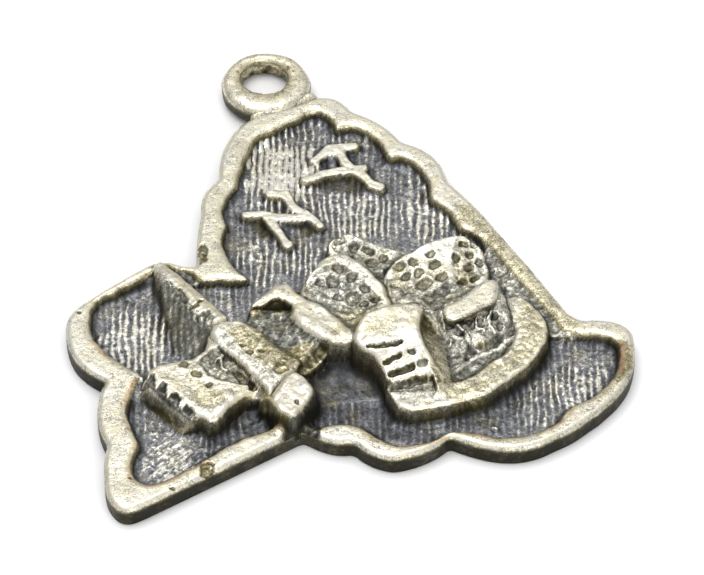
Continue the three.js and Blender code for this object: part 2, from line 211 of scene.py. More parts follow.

# The side of the plate and that of the border above it, row by row from the top down: level and
# outset in mm, wear, warmth, and the seed of the blotches. Their darkness is patina and painted
# shade together.
PLATE_SIDE = [
    (0.38, 0.01, 0.03, 0.4, 83), (0.26, 0.01, 0.02, 0.4, 84), (0.14, 0.0, 0.02, 0.4, 85),
    (0.06, -0.01, 0.03, 0.4, 86), (0.0, -0.06, 0.08, 0.5, 87),
]
PLATE_SIDE_TOP = (0.03, 0.4, 82)
BORDER_SIDE = [
    (0.86, 0.02, 0.30, 0.7, 88), (0.80, 0.02, 0.10, 0.6, 89), (0.70, 0.02, 0.03, 0.4, 90),
    (0.60, 0.01, 0.02, 0.4, 91), (FIELD_LEVEL, 0.0, *PLATE_SIDE_TOP),
]

# The studio's lamps: place and size in metres
LAMPS = {
    "softbox": ((-0.03, 0.04, 0.25), (0.22, 0.14)),
    "front": ((0.04, -0.24, 0.13), (0.20, 0.08)),
}


# Small tools for heights on a grid

LATTICE = 64


def smooth(value, low, high):
    """0 below low, 1 above high and an S curve between them; low may be the larger one."""
    t = np.clip((value - low) / (high - low), 0.0, 1.0)
    return t * t * (3.0 - 2.0 * t)


def cloud(x, y, size, seed, octaves=2):
    """Smooth random values, mostly between -1 and 1, that change over the given size."""
    chance = np.random.default_rng(seed)
    total = np.zeros(np.shape(x))
    for octave in range(octaves):
        lattice = chance.uniform(-1.0, 1.0, (LATTICE, LATTICE))
        u = x / size * 2 ** octave
        v = y / size * 2 ** octave
        i = np.floor(u).astype(int)
        j = np.floor(v).astype(int)
        fu = smooth(u - i, 0.0, 1.0)
        fv = smooth(v - j, 0.0, 1.0)
        left = i % LATTICE
        right = (i + 1) % LATTICE
        low = j % LATTICE
        high = (j + 1) % LATTICE
        near = lattice[left, low] * (1 - fu) + lattice[right, low] * fu
        far = lattice[left, high] * (1 - fu) + lattice[right, high] * fu
        total += (near * (1 - fv) + far * fv) / 2 ** octave
    return total


def shifted(grid, step, axis):
    """The grid moved by whole cells, its edge values repeated."""
    width = abs(step)
    padded = np.pad(grid, [(width, width) if a == axis else (0, 0) for a in (0, 1)], "edge")
    return np.take(padded, np.arange(grid.shape[axis]) + width - step, axis=axis)


def blurred(grid, reach):
    """The grid softened over a reach in cells."""
    farthest = int(3 * reach + 1)
    steps = range(-farthest, farthest + 1)
    weights = [math.exp(-0.5 * (k / reach) ** 2) for k in steps]
    for axis in (0, 1):
        grid = sum(w * shifted(grid, k, axis) for k, w in zip(steps, weights)) / sum(weights)
    return grid


def wheel_depth(grid, radius, cell):
    """How far each point lies below where a polishing wheel of that radius can reach, in mm."""
    farthest = int(radius / cell)
    steps = range(-farthest, farthest + 1)
    lift = {k: (k * cell) ** 2 / (2 * radius) for k in steps}
    closed = grid
    for axis in (0, 1):
        closed = np.max([shifted(closed, k, axis) - lift[k] for k in steps], axis=0)
    for axis in (0, 1):
        closed = np.min([shifted(closed, k, axis) + lift[k] for k in steps], axis=0)
    return closed - grid


def rounding(inset, radius, drop):
    """How far a rounded edge falls below its top, at a distance in from the edge."""
    out = 1.0 - np.clip(inset / radius, 0.0, 1.0)
    return drop * (1.0 - np.sqrt(np.maximum(1.0 - out * out, 0.0)))


def numbers_of(names):
    return [PIECE_NUMBER[name] for name in names]


def at_corners(grid):
    """The values at the four corners of each cell of the grid, corner by corner."""
    return [grid[:-1, :-1], grid[1:, :-1], grid[1:, 1:], grid[:-1, 1:]]


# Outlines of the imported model

def corner_key(point):
    """A point's place in plan, rounded so that the same corner of two faces agrees."""
    return tuple(np.round(point[:2], 3))


def upper_faces(node):
    """Faces of a node that look up, as triangles in mm, and the directed edges around them."""
    smallest = 1e-9
    least_upward = 0.05
    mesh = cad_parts[node].data
    mesh.calc_loop_triangles()
    points = np.array([v.co for v in mesh.vertices]) / MM
    triangles = points[np.array([t.vertices for t in mesh.loop_triangles])]
    normals = np.cross(triangles[:, 1] - triangles[:, 0], triangles[:, 2] - triangles[:, 0])
    size = np.linalg.norm(normals, axis=1)
    up = triangles[(size > smallest) & (normals[:, 2] > least_upward * size)]
    edges = {}
    for triangle in up:
        for a, b in ((0, 1), (1, 2), (2, 0)):
            edges[corner_key(triangle[a]), corner_key(triangle[b])] = triangle[[a, b]]
    return up, open_edges(edges)


def open_edges(edges):
    """Edges, keyed by their two ends, that no edge runs back along."""
    return {ends: edge for ends, edge in edges.items() if ends[::-1] not in edges}


def corners_cut(edges, rounds=1):
    """The edges with each corner between two of them cut off."""
    edges = np.array(list(edges))
    for _ in range(rounds):
        trimmed = np.stack([
            0.75 * edges[:, 0] + 0.25 * edges[:, 1],
            0.25 * edges[:, 0] + 0.75 * edges[:, 1],
        ], axis=1)
        starts = {corner_key(edge[0]): i for i, edge in enumerate(edges)}
        cuts = [
            [trimmed[i, 1], trimmed[starts[corner_key(edge[1])], 0]]
            for i, edge in enumerate(edges) if corner_key(edge[1]) in starts
        ]
        edges = np.concatenate([trimmed, np.array(cuts)])
    return edges


def height_over(triangles, x, y):
    """Height of the triangles above each point, or minus infinity where there are none."""
    slack = 1e-6
    height = np.full(x.shape, -np.inf)
    for a, b, c in triangles:
        low = np.minimum(np.minimum(a, b), c)
        high = np.maximum(np.maximum(a, b), c)
        near = np.nonzero((x >= low[0]) & (x <= high[0]) & (y >= low[1]) & (y <= high[1]))
        px = x[near] - a[0]
        py = y[near] - a[1]
        area = (b[0] - a[0]) * (c[1] - a[1]) - (b[1] - a[1]) * (c[0] - a[0])
        along_b = (px * (c[1] - a[1]) - py * (c[0] - a[0])) / area
        along_c = (py * (b[0] - a[0]) - px * (b[1] - a[1])) / area
        level = a[2] + along_b * (b[2] - a[2]) + along_c * (c[2] - a[2])
        hit = (along_b >= -slack) & (along_c >= -slack) & (along_b + along_c <= 1 + slack)
        height[near] = np.maximum(height[near], np.where(hit, level, -np.inf))
    return height


def nearest_edge(edges, x, y):
    """How far each point lies inside the edges, below 0 outside them, and the nearest point on
    them as (x, y, z). Farther away than the reach, the distance is the reach and the nearest
    point is zero. x and y may stray a little from a square grid."""
    reach = 1.2
    stray = 0.2
    shortest = 1e-12
    best = np.full(x.shape, reach ** 2)
    point = np.zeros((*x.shape, 3))
    inside = np.zeros(x.shape, bool)
    columns = x[:, x.shape[1] // 2]
    rows = y[y.shape[0] // 2]
    for start, end in edges:
        run = end - start
        low = np.minimum(start, end) - stray
        high = np.maximum(start, end) + stray
        i = np.searchsorted(columns, [low[0] - reach, high[0] + reach])
        j = np.searchsorted(rows, [low[1] - reach, high[1] + reach])
        near = (slice(*i), slice(*j))
        length = max(float(run[:2] @ run[:2]), shortest)
        t = ((x[near] - start[0]) * run[0] + (y[near] - start[1]) * run[1]) / length
        t = np.clip(t, 0.0, 1.0)
        away_x = x[near] - start[0] - t * run[0]
        away_y = y[near] - start[1] - t * run[1]
        away = away_x ** 2 + away_y ** 2
        closer = away < best[near]
        best[near][closer] = away[closer]
        point[near][closer] = start + t[closer][:, None] * run
        if start[1] != end[1]:
            band = (slice(None), slice(*np.searchsorted(rows, [low[1], high[1]])))
            level = (start[1] > y[band]) != (end[1] > y[band])
            inside[band] ^= level & (x[band] < start[0] + (y[band] - start[1]) * run[0] / run[1])
    away = np.sqrt(best)
    return np.where(inside, away, -away), point


def near_line(points, u, v):
    """Distance of each point of u and v to a line through the given points."""
    farthest = 1e6
    shortest = 1e-9
    best = np.full(u.shape, farthest)
    for (au, av), (bu, bv) in zip(points, points[1:]):
        du = bu - au
        dv = bv - av
        t = ((u - au) * du + (v - av) * dv) / max(du * du + dv * dv, shortest)
        t = np.clip(t, 0.0, 1.0)
        best = np.minimum(best, np.hypot(u - au - t * du, v - av - t * dv))
    return best


def inset_in(outline, u, v):
    """How far each point of u and v lies inside a closed outline, below 0 outside it."""
    closed = [*outline, outline[0]]
    inside = np.zeros(u.shape, bool)
    for (au, av), (bu, bv) in zip(closed, closed[1:]):
        if av != bv:
            inside ^= ((av > v) != (bv > v)) & (u < au + (v - av) * (bu - au) / (bv - av))
    away = near_line(closed, u, v)
    return np.where(inside, away, -away)


def in_ellipse(u, v, centre_u, centre_v, length, width, turn):
    """Where points lie along and across an ellipse turned by degrees, 1 being its edge."""
    angle = math.radians(turn)
    du = u - centre_u
    dv = v - centre_v
    along = (du * math.cos(angle) + dv * math.sin(angle)) / length
    across = (dv * math.cos(angle) - du * math.sin(angle)) / width
    return along, across


# The photograph's camera

def camera_axes():
    """The camera's right, up and forward directions in the part's frame."""
    turn = math.radians(CAMERA_TURN)
    tilt = math.radians(CAMERA_ELEVATION)
    right = np.array([math.cos(turn), -math.sin(turn), 0.0])
    ahead = np.array([math.sin(turn), math.cos(turn), 0.0])
    above = np.array([0.0, 0.0, 1.0])
    up = math.sin(tilt) * ahead + math.cos(tilt) * above
    forward = math.cos(tilt) * ahead - math.sin(tilt) * above
    return right, up, forward


def in_picture(x, y, z):
    """Where points of the part fall in the photograph, in pixels."""
    right, up, forward = camera_axes()
    ray = np.stack([x, y, z], axis=-1) - np.array(CAMERA_TARGET) + CAMERA_DISTANCE * forward
    depth = ray @ forward
    u = PICTURE_WIDTH / 2 + FOCAL_PIXELS * (ray @ right) / depth
    v = PICTURE_HEIGHT / 2 - FOCAL_PIXELS * (ray @ up) / depth
    return u, v


def below_pixel(u, v, z):
    """The point at height z that the photograph shows at a pixel, in mm."""
    right, up, forward = camera_axes()
    ray = (
        FOCAL_PIXELS * forward
        + (u - PICTURE_WIDTH / 2) * right
        + (PICTURE_HEIGHT / 2 - v) * up
    )
    eye = np.array(CAMERA_TARGET) - CAMERA_DISTANCE * forward
    return eye + ray * (z - eye[2]) / ray[2]


# Slopes that lean on the blocks: how far each is polished, 0 to 1, and its corners as a pixel
# of the photograph and a height in mm
SLOPES = {
    "long_block": [
        (0.86, [(150, 372, 1.7), (197, 412, 1.65), (191, 419, 1.58), (144, 380, 1.62)]),
        (0.80, [(144, 380, 1.62), (191, 419, 1.58), (182, 438, 0.42), (136, 402, 0.42)]),
        # The third facet, at the block's right, is dark with painted shade.
        (0.24, [(197, 412, 1.65), (218, 414, 1.6), (210, 436, 0.42), (182, 438, 0.42)]),
    ],
    "spire": [
        (0.30, [(159, 268, 1.45), (212, 327, 1.7), (176, 357, 0.5), (152, 289, 0.5)]),
        (0.30, [(212, 327, 1.7), (226, 344, 1.6), (206, 353, 1.1), (176, 357, 0.5)]),
    ],
    "round_turret": [
        (0.76, [(270, 392, 2.1), (291, 415, 2.1), (282, 421, 1.1), (257, 402, 1.1)]),
    ],
    "front_tower": [
        (0.62, [(415, 307, 2.3), (437, 388, 1.9), (454, 388, 1.3), (438, 322, 1.45)]),
    ],
}

# Outline of the turret's worn top, in pixels at the height of its crown
TURRET_TOP = [
    (292, 370), (301, 371), (311, 382), (314, 390), (307, 401), (301, 409), (292, 414), (282, 411),
    (275, 405), (271, 396), (277, 385), (286, 375),
]

# Metal that fills the city between its blocks: the piece it belongs to, its height in mm and
# its outline in pixels at that height
GROUNDS = [
    ("quay_floor", 1.45, [(322, 318), (336, 282), (352, 262), (398, 290), (440, 272), (476, 286),
      (470, 306), (444, 318), (426, 330), (388, 338), (360, 345)]),
    ("quay_floor", 1.25, [(416, 322), (450, 314), (470, 330), (462, 366), (444, 384), (424, 372)]),
    ("arch_block", 1.75, [(330, 310), (366, 304), (384, 300), (378, 312), (362, 330), (350, 345),
      (338, 338)]),
    ("back_row", 1.55, [(352, 250), (376, 252), (398, 268), (398, 300), (384, 302), (362, 272)]),
    ("corner_tower", 1.8, [(388, 280), (452, 280), (472, 288), (450, 308), (432, 316),
      (396, 312)]),
    ("round_turret", 1.05, [(261, 402), (270, 390), (290, 400), (313, 392), (316, 402), (298, 417),
      (278, 418), (264, 411)]),
    ("quay_floor", 0.92, [(470, 216), (488, 218), (530, 268), (566, 318), (572, 338), (548, 334),
      (520, 300), (500, 280), (482, 240)]),
    ("court_wall", 1.45, [(222, 350), (250, 328), (262, 318), (306, 330), (330, 345), (323, 361),
      (306, 373), (288, 384), (270, 390), (258, 394), (238, 376)]),
]

# Concave ground between the court, the arch and the front tower: four rows of points from its
# top edge down, each a pixel and a height in mm
HOLLOW = [
    [(304, 372, 1.3), (324, 352, 1.35), (352, 343, 1.6), (368, 355, 1.6), (387, 382, 1.4)],
    [(309, 388, 0.85), (328, 368, 0.9), (352, 362, 0.95), (368, 372, 0.9), (385, 388, 0.85)],
    [(308, 402, 0.66), (326, 390, 0.66), (348, 386, 0.68), (368, 388, 0.66), (386, 395, 0.66)],
    [(305, 413, 0.62), (324, 406.5, 0.62), (343, 402.5, 0.62), (363, 402, 0.62), (388, 401, 0.6)],
]

# Worked and stained faces, and painted shadows and shade: how much lower they are in mm, how far
# they are polished, 0 to 1, which for painted shade sets how dark it is, how much warmer they are,
# how soft their outline is in pixels, and the outline. Those that are lower are rough too.
PATCHES = {
    "field": [
        # The first three are painted shadows under the aeroplanes, the fourth a painted shadow
        # below the kerb, the fifth painted shade below the border near the spire's tip.
        (0.0, 0.24, 0.6, 3, [(310, 183), (330, 178), (350, 176), (362, 186), (358, 196),
          (336, 192), (318, 190)]),
        (0.0, 0.24, 0.6, 3, [(246, 220), (262, 220), (272, 230), (274, 240), (262, 237),
          (250, 229)]),
        (0.0, 0.24, 0.6, 3, [(283, 217), (305, 221), (318, 230), (316, 238), (300, 232),
          (286, 226)]),
        (0.0, 0.26, 0.1, 5, [(386, 402), (440, 404), (482, 396), (530, 372), (548, 352),
          (556, 360), (536, 384), (488, 410), (440, 420), (388, 414)]),
        (0.0, 0.26, 0.2, 3, [(100, 292), (140, 272), (158, 268), (160, 290), (150, 288),
          (106, 302)]),
    ],
    "arch_block": [
        (0.08, 0.54, -0.2, 1.2, [(304, 284), (312, 274), (325, 266), (338, 262), (354, 270),
          (370, 287), (384, 299), (367, 309), (351, 321), (330, 316), (306, 302)]),
        (0.0, 0.58, 0.1, 1.2, [(340, 312), (366, 304), (384, 300), (378, 312), (362, 330),
          (350, 345), (338, 338)]),
    ],
    "back_row": [
        (0.05, 0.50, -0.1, 1.2, [(330, 246), (340, 240), (356, 243), (374, 252), (396, 262),
          (398, 300), (366, 290), (350, 262)]),
    ],
    "corner_tower": [
        # The tower's right face, greener, and darker with painted shade.
        (0.05, 0.70, 0.35, 1.2, [(455, 239), (478, 234), (490, 262), (488, 275), (458, 284),
          (452, 262)]),
        (0.0, 0.66, 0.1, 3, [(390, 262), (410, 256), (440, 258), (448, 272), (440, 284),
          (392, 286)]),
        (0.04, 0.55, -0.2, 2, [(390, 284), (420, 290), (452, 280), (470, 292), (446, 314),
          (425, 318), (392, 312)]),
    ],
    "long_block": [
        (0.12, 0.56, -0.1, 1.2, [(198, 362), (210, 349), (223, 345), (234, 350), (243, 362),
          (252, 380), (253, 387), (238, 383), (222, 380), (208, 374)]),
        (0.0, 0.76, 0.5, 3, [(180, 360), (200, 362), (204, 374), (198, 388), (184, 372)]),
        (0.0, 0.70, 0.9, 3, [(191, 394), (204, 386), (222, 390), (226, 400), (214, 410),
          (196, 406)]),
        (0.0, 0.30, 0.0, 1.5, [(134, 396), (149, 402), (158, 407), (171, 415), (171, 424),
          (160, 426), (146, 416), (132, 406)]),
        (0.0, 0.78, 0.7, 1.5, [(168, 412), (174, 417), (177, 425), (184, 428), (190, 422),
          (196, 420), (193, 428), (184, 434), (175, 429), (170, 420)]),
        (0.08, 0.08, -0.6, 0.6, [(139, 391), (144, 383), (149, 374), (155, 374), (154, 384),
          (156, 390), (159, 384), (163, 381), (167, 384), (165, 393), (168, 398), (171, 393),
          (177, 393), (181, 398), (179, 404), (182, 409), (186, 404), (193, 409), (195, 413),
          (190, 421), (182, 416), (174, 410), (166, 403), (158, 396), (148, 388), (141, 392)]),
        (0.0, 0.50, -0.6, 0.8, [(138, 397), (143, 382), (158, 395), (174, 409), (190, 420),
          (184, 427), (177, 425), (173, 418), (171, 414), (166, 411), (158, 407), (148, 403)]),
    ],
    "spire_tower": [
        (0.0, 0.64, 0.9, 3, [(228, 332), (246, 322), (262, 332), (284, 352), (300, 362),
          (288, 372), (262, 362), (244, 350)]),
        (0.0, 0.50, 1.0, 2, [(262, 328), (276, 338), (292, 352), (312, 362), (300, 374),
          (280, 364), (262, 348)]),
        (0.08, 0.5, 0.0, 1, [(273, 368), (278, 362), (286, 362), (288, 368), (281, 373),
          (275, 372)]),
    ],
    "spire": [
        (0.06, 0.30, -0.2, 1, [(168, 280), (180, 288), (189, 298), (184, 304), (174, 296)]),
        (0.06, 0.42, -0.2, 1, [(198, 314), (208, 308), (214, 316), (212, 326), (203, 327),
          (196, 320)]),
        (0.0, 0.80, 0.9, 1.2, [(166, 262), (229, 317), (226, 322), (162, 266)]),
    ],
    "court_roof": [
        (0.0, 0.82, 0.3, 2, [(262, 296), (286, 283), (300, 300), (284, 304), (262, 306)]),
        (0.0, 0.80, 0.6, 2, [(335, 341), (352, 338), (340, 322), (326, 326)]),
        # Dark along the roof's overhanging lower edge: a cut with brown patina and painted shade.
        (0.18, 0.18, 0.6, 1, [(244, 311), (252, 305), (263, 306), (272, 301), (280, 298),
          (286, 302), (292, 304), (290, 314), (250, 314)]),
    ],
    "court_wall": [
        # Dark brown under the roof's overhang: patina and painted shade.
        (0.0, 0.22, 0.9, 1.5, [(244, 306), (262, 305), (278, 298), (287, 301), (290, 306),
          (282, 314), (262, 314), (250, 318)]),
        (0.0, 0.45, 0.7, 3, [(262, 346), (284, 352), (308, 342), (332, 344), (324, 364),
          (304, 378), (284, 386), (264, 366)]),
    ],
    "quay_wall": [
        (0.0, 0.72, 0.75, 3, [(440, 391), (478, 382), (505, 369), (520, 340), (520, 300),
          (560, 290), (560, 350), (480, 395), (450, 398)]),
        (0.0, 0.84, 0.9, 3, [(452, 400), (487, 400), (489, 412), (470, 420), (454, 414)]),
        (0.0, 0.72, 0.5, 1.5, [(530, 300), (549, 300), (556, 316), (547, 338), (524, 358),
          (492, 374), (456, 387), (440, 388), (440, 380), (490, 360), (520, 340), (530, 320)]),
    ],
    "front_tower": [
        (0.0, 0.84, 0.5, 4, [(352, 322), (372, 306), (395, 300), (424, 303), (420, 326),
          (395, 334), (364, 338)]),
        (0.06, 0.52, -0.1, 1.2, [(388, 380), (434, 376), (440, 392), (400, 399), (388, 394)]),
        (0.02, 0.76, 0.7, 2, [(419, 308), (430, 318), (442, 345), (454, 388), (440, 394),
          (431, 364), (422, 335)]),
        # A brown painted shadow along the top of the tower's right side.
        (0.0, 0.40, 0.8, 2, [(420, 314), (430, 322), (436, 334), (430, 338), (422, 326)]),
    ],
    "round_turret": [
        (0.0, 0.70, 0.7, 2, [(254, 396), (266, 389), (273, 397), (279, 409), (290, 416),
          (284, 423), (266, 420), (254, 408)]),
        # Painted shadow at the turret's foot and on the ground below it.
        (0.0, 0.0, -0.4, 1.5, [(256, 412), (272, 412), (282, 414), (292, 417), (303, 411),
          (310, 402), (317, 390), (322, 400), (320, 434), (256, 434)]),
    ],
    "slab_tower": [
        (0.0, 0.50, -0.2, 2, [(508, 303), (520, 303), (524, 330), (508, 334)]),
        (0.04, 0.36, 0.0, 1.5, [(444, 320), (474, 314), (478, 326), (460, 336), (446, 332)]),
    ],
    "border": [
        (0.0, 0.70, 0.8, 4, [(455, 205), (480, 200), (580, 325), (570, 345), (520, 320),
          (470, 235)]),
        (0.10, 0.24, -0.3, 3, [(286, 414), (318, 412), (320, 436), (316, 450), (280, 450)]),
        (0.05, 0.34, 0.6, 1, [(202, 467), (208, 464), (213, 466), (213, 471), (207, 476),
          (202, 474)]),
        (0.08, 0.34, 0.2, 1.5, [(198, 246), (205, 242), (208, 252), (206, 262), (199, 264)]),
        (0.0, 0.50, 0.4, 3, [(168, 266), (190, 272), (204, 276), (200, 284), (184, 280),
          (168, 272)]),
        (0.0, 0.50, 1.0, 3, [(617, 338), (631, 346), (632, 366), (620, 384), (611, 380),
          (619, 358)]),
    ],
}

# Tones of the field, as ellipses in pixels: centre, half length, half width, turn in degrees,
# clockwise, and how far the ridges are polished, or below 0, how much painted shade darkens all of
# it
FIELD_TONES = [
    (133, 345, 34, 32, 0, 0.95), (278, 172, 36, 40, -20, 1.65), (318, 262, 50, 16, 10, 0.6),
    (360, 216, 44, 24, 8, 0.75), (430, 212, 40, 26, 25, 0.75), (430, 190, 26, 24, 30, 0.7),
    (172, 462, 34, 20, -15, 0.6), (156, 431, 20, 10, 10, 0.4), (582, 388, 34, 26, -20, 0.75),
    (300, 215, 34, 16, 0, 0.5), (268, 262, 34, 22, 0, 0.6), (228, 310, 18, 18, 0, 0.3),
    (545, 402, 30, 30, 0, 0.35), (318, 134, 30, 12, 5, 0.35), (370, 422, 84, 20, 3, -0.20),
    (486, 410, 46, 26, -25, -0.15), (242, 432, 50, 15, -25, -0.20), (612, 348, 30, 12, 20, -0.08),
    (180, 320, 22, 44, -30, -0.14),
]

# The ellipse in which fine scratches take the place of the grooves
SCRATCHED = (166, 458, 40, 28, 0)

# Pits and windows, as ellipses in pixels: centre, half length, half width and turn
PITS = {
    "long_block": [
        (184, 363.5, 5, 2.6, 10), (196.5, 374, 5, 3.4, 15), (209, 384, 4.5, 2.4, -15),
        (218, 340, 5, 3.2, 15),
    ],
    "arch_block": [
        (338, 267, 5.5, 4.5, 20), (352, 276, 5.5, 4.5, -20), (333, 280, 7, 5.5, 10),
        (320, 282, 5, 4, 0), (364, 288, 5.5, 4, 20), (376, 298, 5.5, 3.5, -15),
        (352, 297, 7.5, 7, 0), (338, 296, 5, 4, 0), (364, 302, 4.5, 4, 0),
    ],
    "back_row": [
        (339, 241, 6.5, 4, -20), (354, 247, 4.5, 6, 0), (368, 250, 6, 3, 15),
        (382, 258.5, 4.5, 4.5, 0), (372, 262, 7, 5, 30), (388, 272, 6, 5, 20),
        (352, 258, 3.5, 3, 0),
    ],
    "corner_tower": [
        (399, 266, 6.5, 4.8, -20), (413.5, 262, 5.2, 4.4, -20), (431, 254, 5.6, 3.6, -10),
        (435, 264, 6.2, 4.2, -20), (405, 277, 5.6, 4.2, -20), (418.5, 272.5, 4.8, 4.4, -10),
        (442, 276.5, 6, 4.2, -10), (424, 283, 9.5, 5.2, -25), (441.5, 291.5, 9.5, 5.4, -15),
        (428, 298, 7, 4.5, -10), (409, 290, 7, 4, -10), (456, 257, 4.8, 4.6, 0),
        (463, 243, 5, 4, -20), (475, 242, 5.4, 4.6, 0), (468.5, 266, 5, 4.2, 20),
        (480, 263, 4.6, 4.2, 20), (462, 282, 5.4, 4.2, -10), (475, 278, 6, 3.2, -20),
        (470, 253, 4.4, 3.8, 20),
    ],
    "slab_tower": [
        (449, 325, 5, 4, -20), (459, 330, 4, 5, -30), (468, 321, 4.5, 4, -20),
        (481, 322, 3.5, 5, -10), (500, 326, 4, 4, 10), (494, 316, 3.5, 3.5, 0),
    ],
    "front_tower": [
        (411.5, 351.5, 4.6, 3.4, 0), (422.5, 363, 6, 4, -10), (436, 379, 6, 4.4, 0),
    ],
    "spire_tower": [
        (250, 352, 4, 2.2, 0), (243, 345, 3, 1.6, 0), (262, 350, 3, 1.6, 20),
    ],
    "round_turret": [
        (297, 401, 2.0, 1.6, 0),
    ],
    "border": [
        (79, 312, 2.6, 2, 0), (173, 489, 3, 1.6, -10), (131, 478, 1.6, 1.2, 0),
    ],
}

# Cuts and ridges: half width in pixels, depth in mm, below 0 for a ridge, and a line of points
CUTS = {
    "front_tower": [
        (2.6, 0.14, [(368, 346), (384, 345.5), (401, 341.5)]),
        (2.4, 0.13, [(384, 362), (393, 359), (401, 355)]),
        (3.8, 0.15, [(392, 373), (402, 370), (412, 366)]),
        (4.6, 0.12, [(389, 385), (405, 383), (424, 378)]),
    ],
    "long_block": [
        (1.4, -0.12, [(216, 361), (223, 354), (221, 366), (228, 370)]),
        (4.0, 0.12, [(236, 372), (246, 380), (254, 387)]),
    ],
    "spire": [
        (1.8, 0.08, [(190, 309), (203, 300)]),
    ],
    "slab_tower": [
        (2.0, -0.1, [(490, 311), (489, 325), (496, 335)]),
        (1.5, -0.1, [(476, 318), (476, 329), (484, 330)]),
        (1.5, -0.1, [(457, 325), (467, 335)]),
        (2.4, -0.1, [(465, 332), (469, 346)]),
        (2.4, -0.05, [(459, 369), (478, 357), (497, 349), (513, 338)]),
    ],
    "field": [
        (1.6, -0.1, [(493, 427), (497, 429)]),
    ],
    "border": [
        (1.5, 0.07, [(201, 466), (207, 462.5), (213.5, 464), (214, 471), (208, 477.5),
          (201.5, 475), (201, 466)]),
    ],
    "quay_floor": [
        (2.4, -0.05, [(459, 369), (478, 357), (497, 349), (513, 338)]),
        (1.4, -0.08, [(447, 330), (452, 338), (450, 346)]),
    ],
}


class Relief:
    """The cast face of the pendant: heights in mm on a square grid, and for each point the piece
    that it belongs to, how far it is polished, darkened in places by painted shade, and how warm
    its colour is."""

    def __init__(self, shape):
        self.shape = shape
        self.cell = shape.cell
        margin = 6 * self.cell
        low = np.array(CAD_BOX[0]) / MM - margin
        high = np.array(CAD_BOX[1]) / MM + margin
        across = np.arange(low[0], high[0], self.cell)
        along = np.arange(low[1], high[1], self.cell)
        self.x, self.y = np.meshgrid(across, along, indexing="ij")
        self.x_cast = self.x + shape.wobble * self.lumps(0.8, seed=11, octaves=3)
        self.y_cast = self.y + shape.wobble * self.lumps(0.8, seed=12, octaves=3)
        self.height = np.full(self.x.shape, FIELD_LEVEL)
        self.piece = np.full(self.x.shape, FIELD)
        self.shine = np.zeros(self.x.shape)
        self.warmth = np.zeros(self.x.shape)
        self.rough = np.zeros(self.x.shape)
        self.leaning = np.zeros(self.x.shape, bool)
        self.find_plate()
        self.raise_hollow()
        self.raise_border()
        for name, (radius, shine) in BLOCKS.items():
            self.raise_block(name, radius, shine)
            self.raise_slopes(name)
        for ground in GROUNDS:
            self.raise_ground(*ground)
        for name in PLANES:
            self.raise_block(name, PLANE_RADIUS, SHINE["plane"])
        self.fill_crevices()
        self.join_specks()
        self.soften_edges()
        self.u, self.v = in_picture(self.x, self.y, self.height)
        self.comb_field()
        self.make_ragged()
        self.work_patches_and_paint_shade()
        self.sink_pits()
        self.cut_lines()
        self.roughen()
        self.find_normals()
        self.find_wear()
        self.find_warmth()

    def lumps(self, size, seed, octaves=2):
        """Random values over the face."""
        return cloud(self.x, self.y, size, seed, octaves)

    def cover(self, level, name, shine, window=(slice(None), slice(None))):
        """Raise the face to a level where that is higher, and give those points to a piece."""
        here = level > self.height[window]
        for grid, value in (
            (self.height, level), (self.piece, PIECE_NUMBER[name]), (self.shine, shine),
        ):
            grid[window] = np.where(here, value, grid[window])
        return here

    def find_plate(self):
        """How far in from the plate's outline each point lies, and where that outline is."""
        _, edges = upper_faces("back_plate")
        self.inset, self.edge_point = nearest_edge(corners_cut(edges.values(), 2), self.x, self.y)

    def raise_border(self):
        """The border between the plate's outline and its own inner edge."""
        _, plate_edges = upper_faces("back_plate")
        strips = {}
        for node in BORDER_NODES:
            strips.update(upper_faces(node)[1])
        around = open_edges(strips)
        inner = [edge for ends, edge in around.items() if ends not in plate_edges]
        from_inner, _ = nearest_edge(corners_cut(inner), self.x_cast, self.y_cast)
        from_around, _ = nearest_edge(corners_cut(around.values()), self.x_cast, self.y_cast)
        overrun = 1.0
        along_outline = (self.inset > -overrun) & (self.inset < BORDER_LEAST_WIDTH)
        inside = (from_around > 0) | along_outline
        self.border_inset = np.where(inside, 1, -1) * np.abs(from_inner)
        wave = self.shape.hammer * self.lumps(1.3, seed=21, octaves=3)
        outer_fall = rounding(self.inset, BORDER_OUTER_RADIUS, BORDER_OUTER_RADIUS)
        inner_fall = rounding(self.border_inset, BORDER_INNER_RADIUS, BORDER_INNER_DROP)
        level = BORDER_LEVEL + wave - outer_fall
        level -= inner_fall + BORDER_STEEPNESS * np.maximum(-self.border_inset, 0.0)
        self.cover(level, "border", SHINE["border"])

    def raise_block(self, name, radius, shine):
        """A block of the relief, its edges rounded, its walls near upright."""
        triangles, edges = upper_faces(name)
        edges = list(edges.values())
        reach = 0.7
        low = triangles.min((0, 1)) - reach
        high = triangles.max((0, 1)) + reach
        window = (
            slice(*np.searchsorted(self.x[:, 0], [low[0], high[0]])),
            slice(*np.searchsorted(self.y[0], [low[1], high[1]])),
        )
        x = self.x_cast[window]
        y = self.y_cast[window]
        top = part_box(name)[1].z / MM
        spread = BLOCK_SPREAD
        if name in PLANES:
            level = np.full(x.shape, top - PLANE_WORN)
            spread = PLANE_SPREAD
        elif name == "round_turret":
            level = np.full(x.shape, top)
            points = np.array([below_pixel(u, v, top) for u, v in TURRET_TOP])
            edges = np.stack([points, np.roll(points, -1, axis=0)], axis=1)
        else:
            level = height_over(triangles, x, y)
        inset, point = nearest_edge(corners_cut(edges), x, y)
        level = np.where(np.isfinite(level), level, point[..., 2])
        inset = inset + spread
        level = level - rounding(inset, radius, radius)
        self.cover(level - BLOCK_STEEPNESS * np.maximum(-inset, 0.0), name, shine, window)

    def raise_facets(self, corners, facets, name, shine):
        """Faces between points, each given by the numbers of its three corners."""
        points = np.array([below_pixel(*corner) for corner in corners])
        level = height_over([points[list(facet)] for facet in facets], self.x_cast, self.y_cast)
        return self.cover(level, name, shine)

